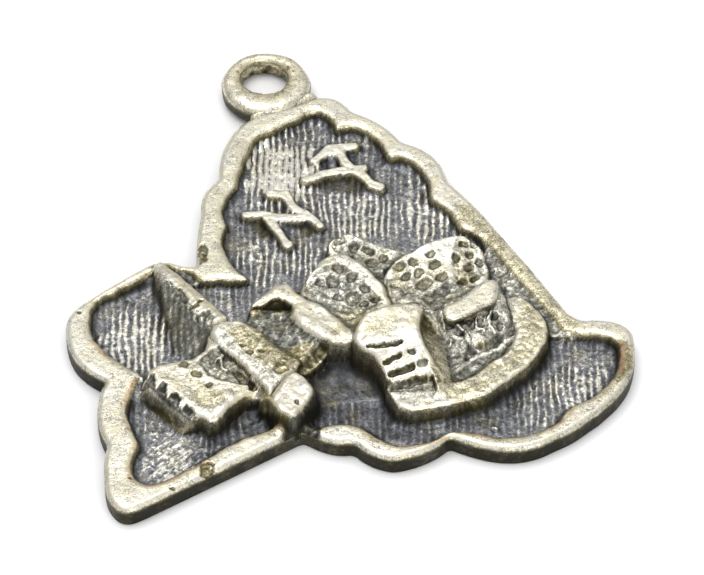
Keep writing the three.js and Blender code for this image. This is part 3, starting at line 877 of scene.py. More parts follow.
    def raise_slopes(self, name):
        """The faces that lean on a block."""
        for shine, corners in SLOPES.get(name, []):
            self.leaning |= self.raise_facets(corners, [(0, 1, 2), (0, 2, 3)], name, shine)

    def raise_hollow(self):
        """The smooth hollow in front of the arch."""
        columns = len(HOLLOW[0])
        facets = []
        for row in range(len(HOLLOW) - 1):
            for a in range(row * columns, (row + 1) * columns - 1):
                facets += [(a, a + 1, a + columns), (a + 1, a + columns + 1, a + columns)]
        corners = [corner for row in HOLLOW for corner in row]
        self.hollow = self.raise_facets(corners, facets, "field", 0.0)

    def raise_ground(self, name, level, outline):
        """Flat metal between blocks, with soft edges."""
        points = [tuple(below_pixel(u, v, level)[:2]) for u, v in outline]
        outside = np.maximum(-inset_in(points, self.x_cast, self.y_cast), 0.0)
        uneven = GROUND_UNEVENNESS * self.lumps(0.45, seed=22)
        self.cover(level - GROUND_STEEPNESS * outside + uneven, name, SHINE["ground"])

    def fill_crevices(self):
        """Metal that has run into the narrow gaps between blocks and nearly fills them."""
        share = 0.85
        self.height += share * wheel_depth(self.height, self.shape.fillet, self.cell)

    def join_specks(self):
        """Give specks of a piece, a few cells across, to the piece around them."""
        reach = 1.2
        shares = [blurred(self.piece == number, reach) for number in PIECE_NUMBER.values()]
        self.piece = np.argmax(shares, axis=0)

    def soften_edges(self):
        """Take the last sharpness off the casting."""
        reach = 0.032
        self.height = blurred(self.height, reach / self.cell)

    def field_tones(self, across, along):
        """How far the field's ridges are polished, and how much painted shade darkens the field,
        both for each point."""
        ragged = 0.3 * cloud(across, along, 0.8, seed=35)
        polish = np.zeros(self.x.shape)
        painted_shade = np.zeros(self.x.shape)
        for *ellipse, strength in FIELD_TONES:
            away = np.hypot(*in_ellipse(self.u, self.v, *ellipse))
            patch = strength * smooth(away + ragged, 1.3, 0.6)
            polish = np.maximum(polish, patch)
            painted_shade = np.minimum(painted_shade, patch)
        return polish, painted_shade

    def comb_field(self):
        """Fine upright grooves in the field, open and polished in places, full of patina
        elsewhere. Comb is their profile, about -1 in a groove and 1 on a ridge."""
        turn = math.radians(CAMERA_TURN)
        across = self.x * math.cos(turn) - self.y * math.sin(turn)
        along = self.x * math.sin(turn) + self.y * math.cos(turn)
        spire_slopes = self.leaning & (self.piece == PIECE_NUMBER["spire"])
        self.combed = (self.piece == FIELD) | spire_slopes
        polish, painted_shade = self.field_tones(across, along)
        scratched = smooth(np.hypot(*in_ellipse(self.u, self.v, *SCRATCHED)), 1.2, 0.8)
        sway = 0.13 * cloud(across, along / 2, 1.3, seed=31)
        sway = sway + 0.05 * cloud(across, along / 2, 0.35, seed=32)
        wave = np.cos(2 * math.pi * (across + sway) / self.shape.groove_spacing) * (1 - scratched)
        grain = cloud(across * 2.0, along * 0.6, 0.3, seed=33)
        grit = cloud(across, along, 0.17, seed=34)
        whole = smooth(cloud(across, along * 0.6, 0.7, seed=36), -0.7, 0.3)
        blotch = cloud(across, along, 0.9, seed=37)
        strokes = np.maximum(
            cloud(across + along, (across - along) * 4.0, 0.5, seed=38),
            cloud((across - along) * 4.0, across + 0.6 * along, 0.6, seed=39),
        )
        clear = smooth(polish, 0.8, 1.2)
        strength = COMB["wave"] + COMB["whole wave"] * whole + COMB["polished wave"] * clear
        speckle = COMB["grain"] * grain + COMB["grit"] * grit
        comb = strength * wave + speckle * (1 - COMB["cleaned"] * clear)
        comb = comb + COMB["strokes"] * scratched * strokes
        comb *= COMB["dull"] + (1 - COMB["dull"]) * smooth(polish, 0.0, 0.6)
        depth = self.shape.groove_depth * 0.5 * comb * self.combed
        self.height += depth * np.where(self.hollow, COMB["hollow"], 1.0)

        reached = COMB["reached"] * polish
        ridge = smooth(comb, 0.40 - reached, 0.85 - reached)
        shine = SHINE["field"] + FIELD_WEAR["comb"] * comb + FIELD_WEAR["blotch"] * blotch
        # Painted shade darkens the field beside the kerb, the blocks and the border.
        shine = shine + FIELD_WEAR["ridge"] * polish * ridge + painted_shade
        foot = smooth(self.v, *HOLLOW_FOOT)
        dark = SHINE["hollow"] + FIELD_WEAR["hollow blotch"] * blotch
        shine = np.where(self.hollow, dark + FIELD_WEAR["hollow foot"] * foot, shine)
        self.shine[self.combed] = shine[self.combed]

    def make_ragged(self):
        """The picture's pixels for each point, shaken so that drawn shapes get ragged edges."""
        shake = 1.2
        self.ragged = (
            self.u + shake * self.lumps(0.3, seed=45), self.v + shake * self.lumps(0.3, seed=46),
        )

    def work_patches_and_paint_shade(self):
        """Worked and stained faces, painted shadows and painted shade."""
        for name, rows in PATCHES.items():
            here = self.piece == PIECE_NUMBER[name]
            for depth, shine, warmth, soft, outline in rows:
                inset = inset_in(outline, *self.ragged)
                share = np.where(here, smooth(inset, -soft, soft), 0.0)
                self.height -= depth * share
                self.shine += (shine - self.shine) * share
                self.warmth += warmth * share
                if depth:
                    self.rough = np.maximum(self.rough, share)

    def sink_pits(self):
        """Pits and windows, each with painted shade on the lip of its upper left."""
        bowl_share = 0.85
        painted_lip_shade_share = 0.7
        painted_lip_shade_place = 0.85
        for name, rows in PITS.items():
            here = self.piece == PIECE_NUMBER[name]
            for ellipse in rows:
                along, across = in_ellipse(*self.ragged, *ellipse)
                away = np.hypot(along, across)
                bowl = np.where(here, smooth(away, 1.2, 0.7), 0.0)
                # Painted shade along the upper left of each pit's rim.
                painted_lip_shade = smooth(np.abs(away - painted_lip_shade_place), 0.3, 0.1)
                painted_lip_shade = painted_lip_shade * smooth(along + across, 1.0, -0.6)
                self.height -= PIT_DEPTH * bowl
                self.shine += bowl_share * bowl * (SHINE["pit"] - self.shine)
                self.shine += np.where(here, painted_lip_shade_share * painted_lip_shade, 0.0) * (SHINE["painted_lip_shade"] - self.shine)

    def cut_lines(self):
        """Cuts, which are dark, and ridges, which are bright."""
        for name, rows in CUTS.items():
            here = self.piece == PIECE_NUMBER[name]
            for width, depth, points in rows:
                shine = SHINE["cut" if depth > 0 else "ridge"]
                away = near_line(points, *self.ragged)
                share = np.where(here, smooth(away / width, 1.2, 0.5), 0.0)
                self.height -= depth * share
                self.shine += (shine - self.shine) * share
                self.warmth += WARMTH["cut depth"] * depth * share

    def roughen(self):
        """The unevenness of a small casting: soft lumps, and a finer grain over them."""
        block = np.isin(self.piece, numbers_of(BLOCKS))
        self.height += np.where(block, CAST["lumps"], 0.0) * self.lumps(0.55, seed=42)
        for name, strength in ROUGH.items():
            here = self.piece == PIECE_NUMBER[name]
            self.rough = np.where(here, np.maximum(self.rough, strength), self.rough)
        coarse = self.lumps(0.22, seed=43)
        grit = self.lumps(0.13, seed=44, octaves=1)
        self.height += self.rough * (CAST["coarse"] * coarse + CAST["grit"] * grit)
        self.shine += self.rough * (CAST["coarse shine"] * coarse + CAST["grit shine"] * grit)
        grain = np.where(self.piece == BORDER, CAST["border grain"], CAST["grain"])
        self.height += grain * self.lumps(0.2, seed=41)

    def find_normals(self):
        """Which way the face looks at each point."""
        slope_x, slope_y = np.gradient(self.height, self.cell)
        self.normal = np.stack([-slope_x, -slope_y, np.ones(self.x.shape)], axis=-1)
        self.normal /= np.linalg.norm(self.normal, axis=-1, keepdims=True)

    def near_inner_edge(self, strip):
        """1 on the border along its inner edge, fading to 0 across a strip."""
        return np.where(self.piece == BORDER, smooth(self.border_inset, *strip), 0.0)

    def find_wear(self):
        """How far the patina has been polished away, lowered in places by painted shade, from 0
        for black to 1 for bright silver.
        """
        crest_reach = 0.14
        crest_height = 0.06
        wheel_radius = 0.28
        around = blurred(self.height, crest_reach / self.cell)
        crest = np.clip((self.height - around) / crest_height, -1.0, 1.0)
        deep = smooth(wheel_depth(self.height, wheel_radius, self.cell), 0.03, 0.2)
        wear = self.shine + WEAR["crest"] * crest - WEAR["deep"] * deep
        # Upright walls are darkened: their patina and painted shade together.
        wall = np.where(self.piece == BORDER, WEAR["border wall"], WEAR["wall"])
        wall = wall * smooth(self.normal[..., 2], 0.62, 0.42)
        polished_walls = self.leaning | (self.piece == PIECE_NUMBER["round_turret"])
        wear -= np.where(polished_walls, 0.0, wall)
        wear += WEAR["chance"] * self.lumps(0.5, seed=51)
        inner_edge = WEAR["inner edge"] * self.near_inner_edge(INNER_EDGE)
        wear -= inner_edge + WEAR["inner half"] * self.near_inner_edge(INNER_HALF)
        self.wear = np.clip(wear, 0.0, 1.0)

    def find_warmth(self):
        """How warm the metal looks, from 0 to 1, and from 1 to 2 where a brown stain covers it."""
        inner_edge = WARMTH["inner edge"] * self.near_inner_edge(INNER_EDGE)
        inner_half = WARMTH["inner half"] * self.near_inner_edge(INNER_HALF)
        self.warmth += WARMTH["all"] + inner_edge + inner_half
        self.warmth += WARMTH["chance"] * self.lumps(0.9, seed=52)
        steep = WARMTH["steep"] * smooth(self.normal[..., 2], 0.8, 0.55)
        self.warmth += np.where(self.combed, 0.0, steep)
        cool = self.combed | np.isin(self.piece, numbers_of(COOL))
        cooler = np.where(cool, WARMTH["cool"], 0.0)
        self.warmth -= np.where(self.hollow, WARMTH["hollow"], cooler)
        away = np.abs(self.border_inset - STAIN_INSET)
        stain = np.where(self.piece == BORDER, smooth(away, STAIN_INSET, 0.08), 0.0)
        stain = stain * smooth(self.v, *STAIN_START)
        stain = stain * smooth(self.lumps(0.5, seed=53), -0.7, 0.1)
        self.warmth = np.clip(self.warmth, 0.0, 1.0) + stain


@functools.cache
def relief():
    """The sculpted face, made once from the settings when a piece first needs it."""
    return Relief(bpy.context.scene.map_pendant.shape)


# Meshes

class Sheet:
    """Points, four-sided faces, and a normal and a tone per point, of a piece while it is put
    together. A tone is wear, with painted shade and light in places, and warmth."""

    def __init__(self):
        self.points = np.zeros((0, 3))
        self.normals = np.zeros((0, 3))
        self.tone = np.zeros((0, 2))
        self.faces = np.zeros((0, 4), int)

    def add_points(self, points, normals, tone):
        """Add points, and return their numbers."""
        first = len(self.points)
        self.points = np.concatenate([self.points, points])
        self.normals = np.concatenate([self.normals, np.broadcast_to(normals, (len(points), 3))])
        self.tone = np.concatenate([self.tone, np.broadcast_to(tone, (len(points), 2))])
        return first + np.arange(len(points))

    def add_faces(self, faces):
        """Add faces, given by the numbers of their points."""
        self.faces = np.concatenate([self.faces, faces])

    def rim(self):
        """Edges that only one face uses, in the direction that face runs."""
        a = self.faces.ravel()
        b = np.roll(self.faces, -1, axis=1).ravel()
        count = len(self.points)
        forth = a * count + b
        open_ones = ~np.isin(forth, b * count + a)
        return np.stack([a[open_ones], b[open_ones]], axis=1)

    def add_wall(self, edges, rows, outward):
        """Walls down from edges. Rows are (level, outset, tone), and outward is given for each
        point of the edges. Returns the edges of the lowest row."""
        tops, places = np.unique(edges, return_inverse=True)
        a, b = places.reshape(edges.shape).T
        start = self.points[tops]
        above = self.add_points(start, outward, self.tone[tops])
        for level, outset, tone in rows:
            points = start + outset * outward
            points[:, 2] = level
            below = self.add_points(points, outward, tone)
            self.add_faces(np.stack([above[b], above[a], below[a], below[b]], axis=1))
            above = below
        return np.stack([above[a], above[b]], axis=1)

    def add_skirt(self, edges, depth):
        """Hidden sides that close a piece downwards where it meets its neighbours."""
        hidden_tone = (0.2, 0.3)
        up = np.tile([0.0, 0.0, 1.0], (len(np.unique(edges)), 1))
        self.add_wall(edges, [(FIELD_LEVEL - depth, 0.0, hidden_tone)], up)


def mesh_piece(name, sheet, materials, own_normals=True, second=None):
    """A new object from a sheet in mm, with the sheet's own normals or those of its faces. Faces
    from number second on take the second material."""
    mesh = bpy.data.meshes.new(name)
    faces = sheet.faces
    mesh.vertices.add(len(sheet.points))
    mesh.vertices.foreach_set("co", (sheet.points * MM).astype(np.float32).ravel())
    mesh.loops.add(faces.size)
    mesh.loops.foreach_set("vertex_index", faces.astype(np.int32).ravel())
    mesh.polygons.add(len(faces))
    mesh.polygons.foreach_set("loop_start", np.arange(0, faces.size, 4, dtype=np.int32))
    mesh.polygons.foreach_set("use_smooth", np.ones(len(faces), bool))
    mesh.update(calc_edges=True)
    add_tone(mesh, sheet.tone)
    if own_normals:
        mesh.normals_split_custom_set_from_vertices(sheet.normals.tolist())
    for material in materials:
        mesh.materials.append(material)
    if second is not None:
        slots = (np.arange(len(faces)) >= second).astype(np.int32)
        mesh.polygons.foreach_set("material_index", slots)
    return link_object(name, mesh)


def add_tone(mesh, tone):
    """Wear, with painted shade and light in places, and warmth for each point of a mesh."""
    tone = np.broadcast_to(tone, (len(mesh.vertices), 2))
    for column, name in enumerate(("wear", "warmth")):
        layer = mesh.attributes.new(name, "FLOAT", "POINT")
        layer.data.foreach_set("value", tone[:, column].astype(np.float32))


def link_object(name, data):
    """A new object in the scene."""
    linked = bpy.data.objects.new(name, data)
    bpy.context.scene.collection.objects.link(linked)
    return linked


def settled(piece, nodes):
    """A finished piece: it rides on the pendant's body and stands for its nodes."""
    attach(piece, "root")
    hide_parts(*nodes)


def cells_as_faces(owned, on_plate):
    """Faces for the owned cells of a grid: which of the grid's points they use, the faces as
    numbers among those, and which of those points lie on the outline of the cells on the plate."""
    i, j = np.nonzero(owned)
    columns = owned.shape[1] + 1
    here = i * columns + j
    corners = np.stack([here, here + columns, here + columns + 1, here + 1], axis=1)
    used, faces = np.unique(corners, return_inverse=True)
    surrounded = np.all(at_corners(np.pad(on_plate, 1)), axis=0)
    return used, faces.reshape(corners.shape), ~surrounded.ravel()[used]


def face_sheet(names):
    """The part of the face that belongs to the named pieces, and which of its points lie on the
    plate's outline. A cell belongs to the piece of its highest corner."""
    grid = relief()
    on_plate = sum(at_corners(grid.inset)) / 4 > 0
    highest = np.argmax(at_corners(grid.height), axis=0)
    owner = np.choose(highest, at_corners(grid.piece))
    owned = on_plate & np.isin(owner, numbers_of(names))
    used, faces, at_edge = cells_as_faces(owned, on_plate)
    points = np.stack([g.ravel()[used] for g in (grid.x, grid.y, grid.height)], axis=1)
    points[at_edge, :2] = grid.edge_point.reshape(-1, 3)[used][at_edge, :2]
    tone = np.stack([grid.wear.ravel()[used], grid.warmth.ravel()[used]], axis=1)
    sheet = Sheet()
    sheet.add_points(points, grid.normal.reshape(-1, 3)[used], tone)
    sheet.add_faces(faces)
    return sheet, at_edge


def cast_pieces(names):
    """Pieces cut from the face, each with a skirt that goes down under the field."""
    for name in names:
        sheet, _ = face_sheet([name])
        sheet.add_skirt(sheet.rim(), SKIRT_DEPTH)
        piece = mesh_piece(name + "_cast", sheet, [face_silver()])
        settled(piece, [name])


def patina_and_shade_tones(points, wear, warmth, seed):
    """Tones of a side that no wheel has reached, dark with patina and painted shade, blotched and
    flecked.
    """
    x, y = points[:, 0], points[:, 1]
    blotch = cloud(x, y, 0.8, seed=81) + cloud(x, y, 0.2, seed)
    wear = np.clip(wear + 0.12 * blotch - 0.02, 0, 1)
    return np.column_stack([wear, np.full(len(points), warmth)])


def patina_and_shade_rows(points, rows):
    """Rows of a wall, each with the tones of a side dark with patina and painted shade."""
    return [(level, outset, patina_and_shade_tones(points, *tone)) for level, outset, *tone in rows]


def outward_of(points):
    """Which way the plate's outline faces at each point on it."""
    grid = relief()
    shortest = 1e-9
    inset_x, inset_y = np.gradient(grid.inset, grid.cell)
    start = np.array([grid.x[0, 0], grid.y[0, 0]])
    nearest = np.rint((points[:, :2] - start) / grid.cell).astype(int)
    i, j = np.clip(nearest, 0, np.array(grid.x.shape) - 1).T
    outward = -np.stack([inset_x[i, j], inset_y[i, j], np.zeros(len(points))], axis=1)
    return outward / np.maximum(np.linalg.norm(outward, axis=1, keepdims=True), shortest)


def pillow(name, node, radius, bulge, seed, tone, swell=0.0):
    """A rounded lump with a node's outline and thickness, its upper and lower sides closed. It
    may swell above the node and around it, in mm."""
    lower_tone = (0.3, 0.5)
    edge_tone = (0.5, 0.6)
    step = relief().cell
    _, edges = upper_faces(node)
    outline = corners_cut(edges.values(), 2)
    low, high = (np.array(corner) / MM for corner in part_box(node))
    centre = (low[:2] + high[:2]) / 2
    stretch = (high[:2] - low[:2] + 2 * swell) / (high[:2] - low[:2])
    outline[..., :2] = centre + (outline[..., :2] - centre) * stretch
    high[2] += swell / 6
    margin = swell + step
    x, y = np.meshgrid(
        np.arange(low[0] - margin, high[0] + margin, step),
        np.arange(low[1] - margin, high[1] + margin, step), indexing="ij",
    )
    inset, point = nearest_edge(outline, x, y)
    covered = sum(at_corners(inset)) / 4 > 0
    used, faces, at_edge = cells_as_faces(covered, covered)
    plan = np.stack([x.ravel()[used], y.ravel()[used]], axis=1)
    plan[at_edge] = point.reshape(-1, 3)[used][at_edge, :2]
    inset = np.maximum(inset.ravel()[used], 0.0)
    inset[at_edge] = 0.0
    middle = (low[2] + high[2]) / 2
    half = (high[2] - low[2]) / 2
    fall = rounding(inset, radius, half * 0.9)
    lumps = bulge * cloud(plan[:, 0], plan[:, 1], 0.7, seed, 3) * smooth(inset, 0.0, 0.2)
    upper = middle + half - fall + lumps
    lower = middle - half + fall
    lower[at_edge] = upper[at_edge]
    sheet = Sheet()
    top = sheet.add_points(np.column_stack([plan, upper]), 0.0, tone)
    bottom = sheet.add_points(np.column_stack([plan, lower]), 0.0, lower_tone)
    bottom[at_edge] = top[at_edge]
    sheet.add_faces(top[faces])
    sheet.add_faces(bottom[faces][:, ::-1])
    sheet.tone[top[at_edge]] = edge_tone
    piece = mesh_piece(name, sheet, [face_silver()], own_normals=False)
    settled(piece, [node])


# Shader maths

class Value:
    """A shader socket that can be used in sums."""

    def __init__(self, tree, socket):
        self.tree = tree
        self.socket = socket

    def _math(self, operation, left, right):
        settings = {"operation": operation}
        return node_output(self.tree, "ShaderNodeMath", settings, {0: left, 1: right})

    def __add__(self, other):
        return self._math("ADD", self, other)

    def __radd__(self, other):
        return self._math("ADD", other, self)

    def __sub__(self, other):
        return self._math("SUBTRACT", self, other)

    def __rsub__(self, other):
        return self._math("SUBTRACT", other, self)

    def __mul__(self, other):
        return self._math("MULTIPLY", self, other)

    def __rmul__(self, other):
        return self._math("MULTIPLY", other, self)

    def clamped(self):
        return node_output(self.tree, "ShaderNodeClamp", {}, {"Value": self})


def add_node(tree, kind, settings, inputs):
    """A node with its settings made and its sockets set or linked. Stops is a ramp's colours."""
    node = tree.nodes.new(kind)
    for name, value in settings.items():
        if name == "stops":
            ramp = node.color_ramp
            while len(ramp.elements) < len(value):
                ramp.elements.new(0.5)
            for element, (position, colour) in zip(ramp.elements, value):
                element.position = position
                element.color = (*colour, 1.0)
        else:
            setattr(node, name, value)
    for name, value in inputs.items():
        if isinstance(value, Value):
            tree.links.new(value.socket, node.inputs[name])
        else:
            node.inputs[name].default_value = value
    return node


def node_output(tree, kind, settings, inputs, output=0):
    return Value(tree, add_node(tree, kind, settings, inputs).outputs[output])


def mixed(tree, share, first, second):
    """A share of the second colour laid over the first. The Mix node has sockets of the same
    names for numbers, so those for colours go by number."""
    sockets = {0: share, 6: first, 7: second}
    return node_output(tree, "ShaderNodeMix", {"data_type": "RGBA"}, sockets, 2)


def dimmed(colour, strength):
    return tuple(strength * c for c in colour)


def patina_stops(bright, patina):
    """From black through shades of a patina to bare silver."""
    thin_patina = tuple(0.55 * b + 0.75 * p for b, p in zip(bright, patina))
    return [
        (0.0, dimmed(patina, 0.13)), (0.2, dimmed(patina, 0.42)), (0.4, dimmed(patina, 0.92)),
        (0.64, dimmed(thin_patina, 0.62)), (0.86, tuple(bright)),
    ]


def silver(name, finish, patina):
    """Cast silver: bright where polished, grey to black patina where not, and warmer in places."""
    material = bpy.data.materials.get(name)
    if material:
        return material
    material = bpy.data.materials.new(name)
    material.use_nodes = True
    tree = material.node_tree
    tree.nodes.clear()
    place = node_output(tree, "ShaderNodeTexCoord", {}, {}, "Object")

    def noise(scale, detail):
        """Noise with a number of bumps to the millimetre."""
        return node_output(tree, "ShaderNodeTexNoise", {}, {
            "Vector": place, "Scale": scale / MM, "Detail": detail, "Roughness": 0.6,
        }, "Fac")

    def painted(layer):
        """A value kept for each point of the mesh."""
        return node_output(tree, "ShaderNodeAttribute", {"attribute_name": layer}, {}, "Fac")

    def ramp(bright, patina):
        """Silver with its patina, by how far it is polished."""
        stops = {"stops": patina_stops(bright, patina)}
        return node_output(tree, "ShaderNodeValToRGB", stops, {"Fac": level})

    coarse = noise(1.7, 3.0)
    fine = noise(6.0, 2.0)
    pores = noise(13.0, 1.0)
    # Polish, darkened in places by painted shade and brightened in places by painted light.
    worn = painted("wear")
    warmth = painted("warmth")
    stipple = (coarse - 0.5) * 0.45 + (fine - 0.5) * 0.7 + (pores - 0.5) * 0.9
    level = (worn + stipple * (worn * 2.0).clamped()).clamped()
    tinge = (coarse - 0.5) * 1.6 + (fine - 0.5) * 2.2
    warm = (warmth + tinge * (warmth * 2.0).clamped()).clamped()
    stained = (warmth - 1.0).clamped()
    colour = mixed(
        tree, warm, ramp(finish.polished, patina), ramp(finish.warm_polished, finish.tarnish))
    colour = mixed(tree, stained, colour, ramp(finish.rust_polished, finish.rust))
    bump = node_output(tree, "ShaderNodeBump", {}, {
        "Height": fine * 0.6 + pores * 0.4, "Strength": 0.7, "Distance": 0.04 * MM,
    })
    shader = node_output(tree, "ShaderNodeBsdfPrincipled", {}, {
        "Base Color": colour,
        "Metallic": 0.9 + level * 0.1,
        "Roughness": 0.52 - level * 0.2,
        "Normal": bump,
    })
    add_node(tree, "ShaderNodeOutputMaterial", {}, {"Surface": shader})
    return material


def face_silver():
    finish = bpy.context.scene.map_pendant.finish
    return silver("polished silver", finish, finish.patina)


def field_silver():
    finish = bpy.context.scene.map_pendant.finish
    return silver("oxidised silver", finish, finish.field_patina)


# Settings

def mm_property(name, description, default, low, high):
    return bpy.props.FloatProperty(
        name=name, description=description, default=default, min=low, max=high, precision=3)


def colour_property(name, description, default):
    return bpy.props.FloatVectorProperty(
        name=name, description=description, default=default, subtype="COLOR", min=0.0, max=1.0)


def power_property(name, description, default):
    return bpy.props.FloatProperty(
        name=name, description=description, default=default, min=0.0, unit="POWER")


class PendantShape(bpy.types.PropertyGroup):
    """Sizes of the casting's details, in millimetres"""

    fillet: mm_property("Fillet", "Radius that molten metal leaves in corners", 0.34, 0.05, 1.0)
    cell: mm_property("Grid cell", "Spacing of the points on the face", 0.055, 0.03, 0.3)
    wobble: mm_property("Wobble", "How far cast edges wander", 0.06, 0.0, 0.2)
    hammer: mm_property("Hammering", "How uneven the border's top is", 0.018, 0.0, 0.2)
    groove_spacing: mm_property(
        "Groove spacing", "From one groove of the field to the next", 0.335, 0.1, 1.0)
    groove_depth: mm_property("Groove depth", "Depth of the grooves in the field", 0.07, 0.0, 0.2)
    hole_radius: mm_property("Hole radius", "Radius of the hole in the eye ring", 1.17, 0.5, 1.6)
    hole_shift: mm_property(
        "Hole shift", "How far the hole lies off the ring's middle", 0.45, 0.0, 0.6)


class PendantFinish(bpy.types.PropertyGroup):
    """Colours of the silver"""

    polished: colour_property("Polished", "Bare silver", (0.775, 0.75, 0.655))
    warm_polished: colour_property(
        "Warm silver", "Bare silver with a yellow cast", (0.76, 0.70, 0.51))
    tarnish: colour_property("Tarnish", "Warm patina", (0.21, 0.18, 0.08))
    rust_polished: colour_property(
        "Red silver", "Bare silver with a red stain", (0.66, 0.48, 0.32))
    rust: colour_property("Red patina", "Patina in the stain along the border", (0.34, 0.22, 0.13))
    patina: colour_property("Patina", "Patina on the relief", (0.205, 0.205, 0.175))
    field_patina: colour_property("Field patina", "Patina on the field", (0.205, 0.21, 0.225))


class PendantLight(bpy.types.PropertyGroup):
    """Studio light"""

    world: bpy.props.FloatProperty(
        name="World", description="Light from overhead and around", default=0.965, min=0.0)
    softbox: power_property("Softbox", "Power of the light overhead", 0.29)
    front: power_property("Front", "Power of the light in front", 0.18)
    floor: colour_property("Floor", "Colour of the floor", (0.93, 0.93, 0.93))


class PendantSettings(bpy.types.PropertyGroup):
    """All settings of the pendant"""

    shape: bpy.props.PointerProperty(type=PendantShape)
    finish: bpy.props.PointerProperty(type=PendantFinish)
    light: bpy.props.PointerProperty(type=PendantLight)


# Operators

class PENDANT_OT_plate(bpy.types.Operator):
    """Make the plate: the combed field, the lower part of the side, and the plain back"""

    bl_idname = "pendant.plate"
    bl_label = "Plate"

    def execute(self, context):
        sheet, _ = face_sheet(["field"])
        sheet.add_skirt(sheet.rim(), FIELD_SKIRT_DEPTH)
        whole, _ = face_sheet(PIECE_NUMBER)
        outline = whole.rim()
        tops, places = np.unique(outline, return_inverse=True)
        points = whole.points[tops]
        points[:, 2] = FIELD_LEVEL
        outward = outward_of(points)
        first = sheet.add_points(points, outward, patina_and_shade_tones(points, *PLATE_SIDE_TOP))
        side = len(sheet.faces)
        ring = first[places.reshape(outline.shape)]
        lowest = sheet.add_wall(ring, patina_and_shade_rows(points, PLATE_SIDE), outward)
        piece = mesh_piece("plate", sheet, [field_silver(), face_silver()], second=side)
        self.add_back(sheet.points, lowest)
        settled(piece, ["back_plate"])
        return {"FINISHED"}

    def add_back(self, points, edges):
        """The flat back face, one polygon inside the side's lowest row."""
        back_tone = (0.8, 0.3)
        following = dict(edges.tolist())
        loop = [int(edges[0, 0])]
        while following[loop[-1]] != loop[0]:
            loop.append(following[loop[-1]])
        if len(loop) != len(edges):
            raise RuntimeError("the plate's outline isn't one closed loop")
        back = bpy.data.meshes.new("plate_back")
        points = points[loop] * MM
        back.from_pydata(points.tolist(), [], [list(range(len(loop)))[::-1]])
        add_tone(back, back_tone)
        back.materials.append(field_silver())
        cover = link_object("plate_back", back)
        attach(cover, "root")


class PENDANT_OT_border(bpy.types.Operator):
    """Make the raised border with its rounded outer side"""

    bl_idname = "pendant.border"
    bl_label = "Border"

    def execute(self, context):
        sheet, at_edge = face_sheet(["border"])
        edges = sheet.rim()
        outer = at_edge[edges].all(axis=1)
        sheet.add_skirt(edges[~outer], SKIRT_DEPTH)
        points = sheet.points[np.unique(edges[outer])]
        sheet.add_wall(edges[outer], patina_and_shade_rows(points, BORDER_SIDE), outward_of(points))
        settled(mesh_piece("border", sheet, [face_silver()]), BORDER_NODES)
        return {"FINISHED"}


class PENDANT_OT_city(bpy.types.Operator):
    """Make the blocks and towers of the city"""

    bl_idname = "pendant.city"
    bl_label = "City"

    def execute(self, context):
        cast_pieces([name for name in BLOCKS if name not in QUAY])
        return {"FINISHED"}


class PENDANT_OT_quay(bpy.types.Operator):
    """Make the kerb in front of the city and the ground inside it"""

    bl_idname = "pendant.quay"
    bl_label = "Quay"

    def execute(self, context):
        cast_pieces(QUAY)
        return {"FINISHED"}


class PENDANT_OT_planes(bpy.types.Operator):
    """Make the two aeroplanes"""

    bl_idname = "pendant.planes"
    bl_label = "Aeroplanes"

    def execute(self, context):
        cast_pieces(PLANES)
        return {"FINISHED"}


class PENDANT_OT_roof_slab(bpy.types.Operator):
    """Make the slab that overhangs the tower behind the quay"""

    bl_idname = "pendant.roof_slab"
    bl_label = "Roof slab"

    def execute(self, context):
        pillow("roof_slab_cast", "roof_slab", 0.3, 0.02, seed=61, tone=(0.86, 0.4))
        return {"FINISHED"}


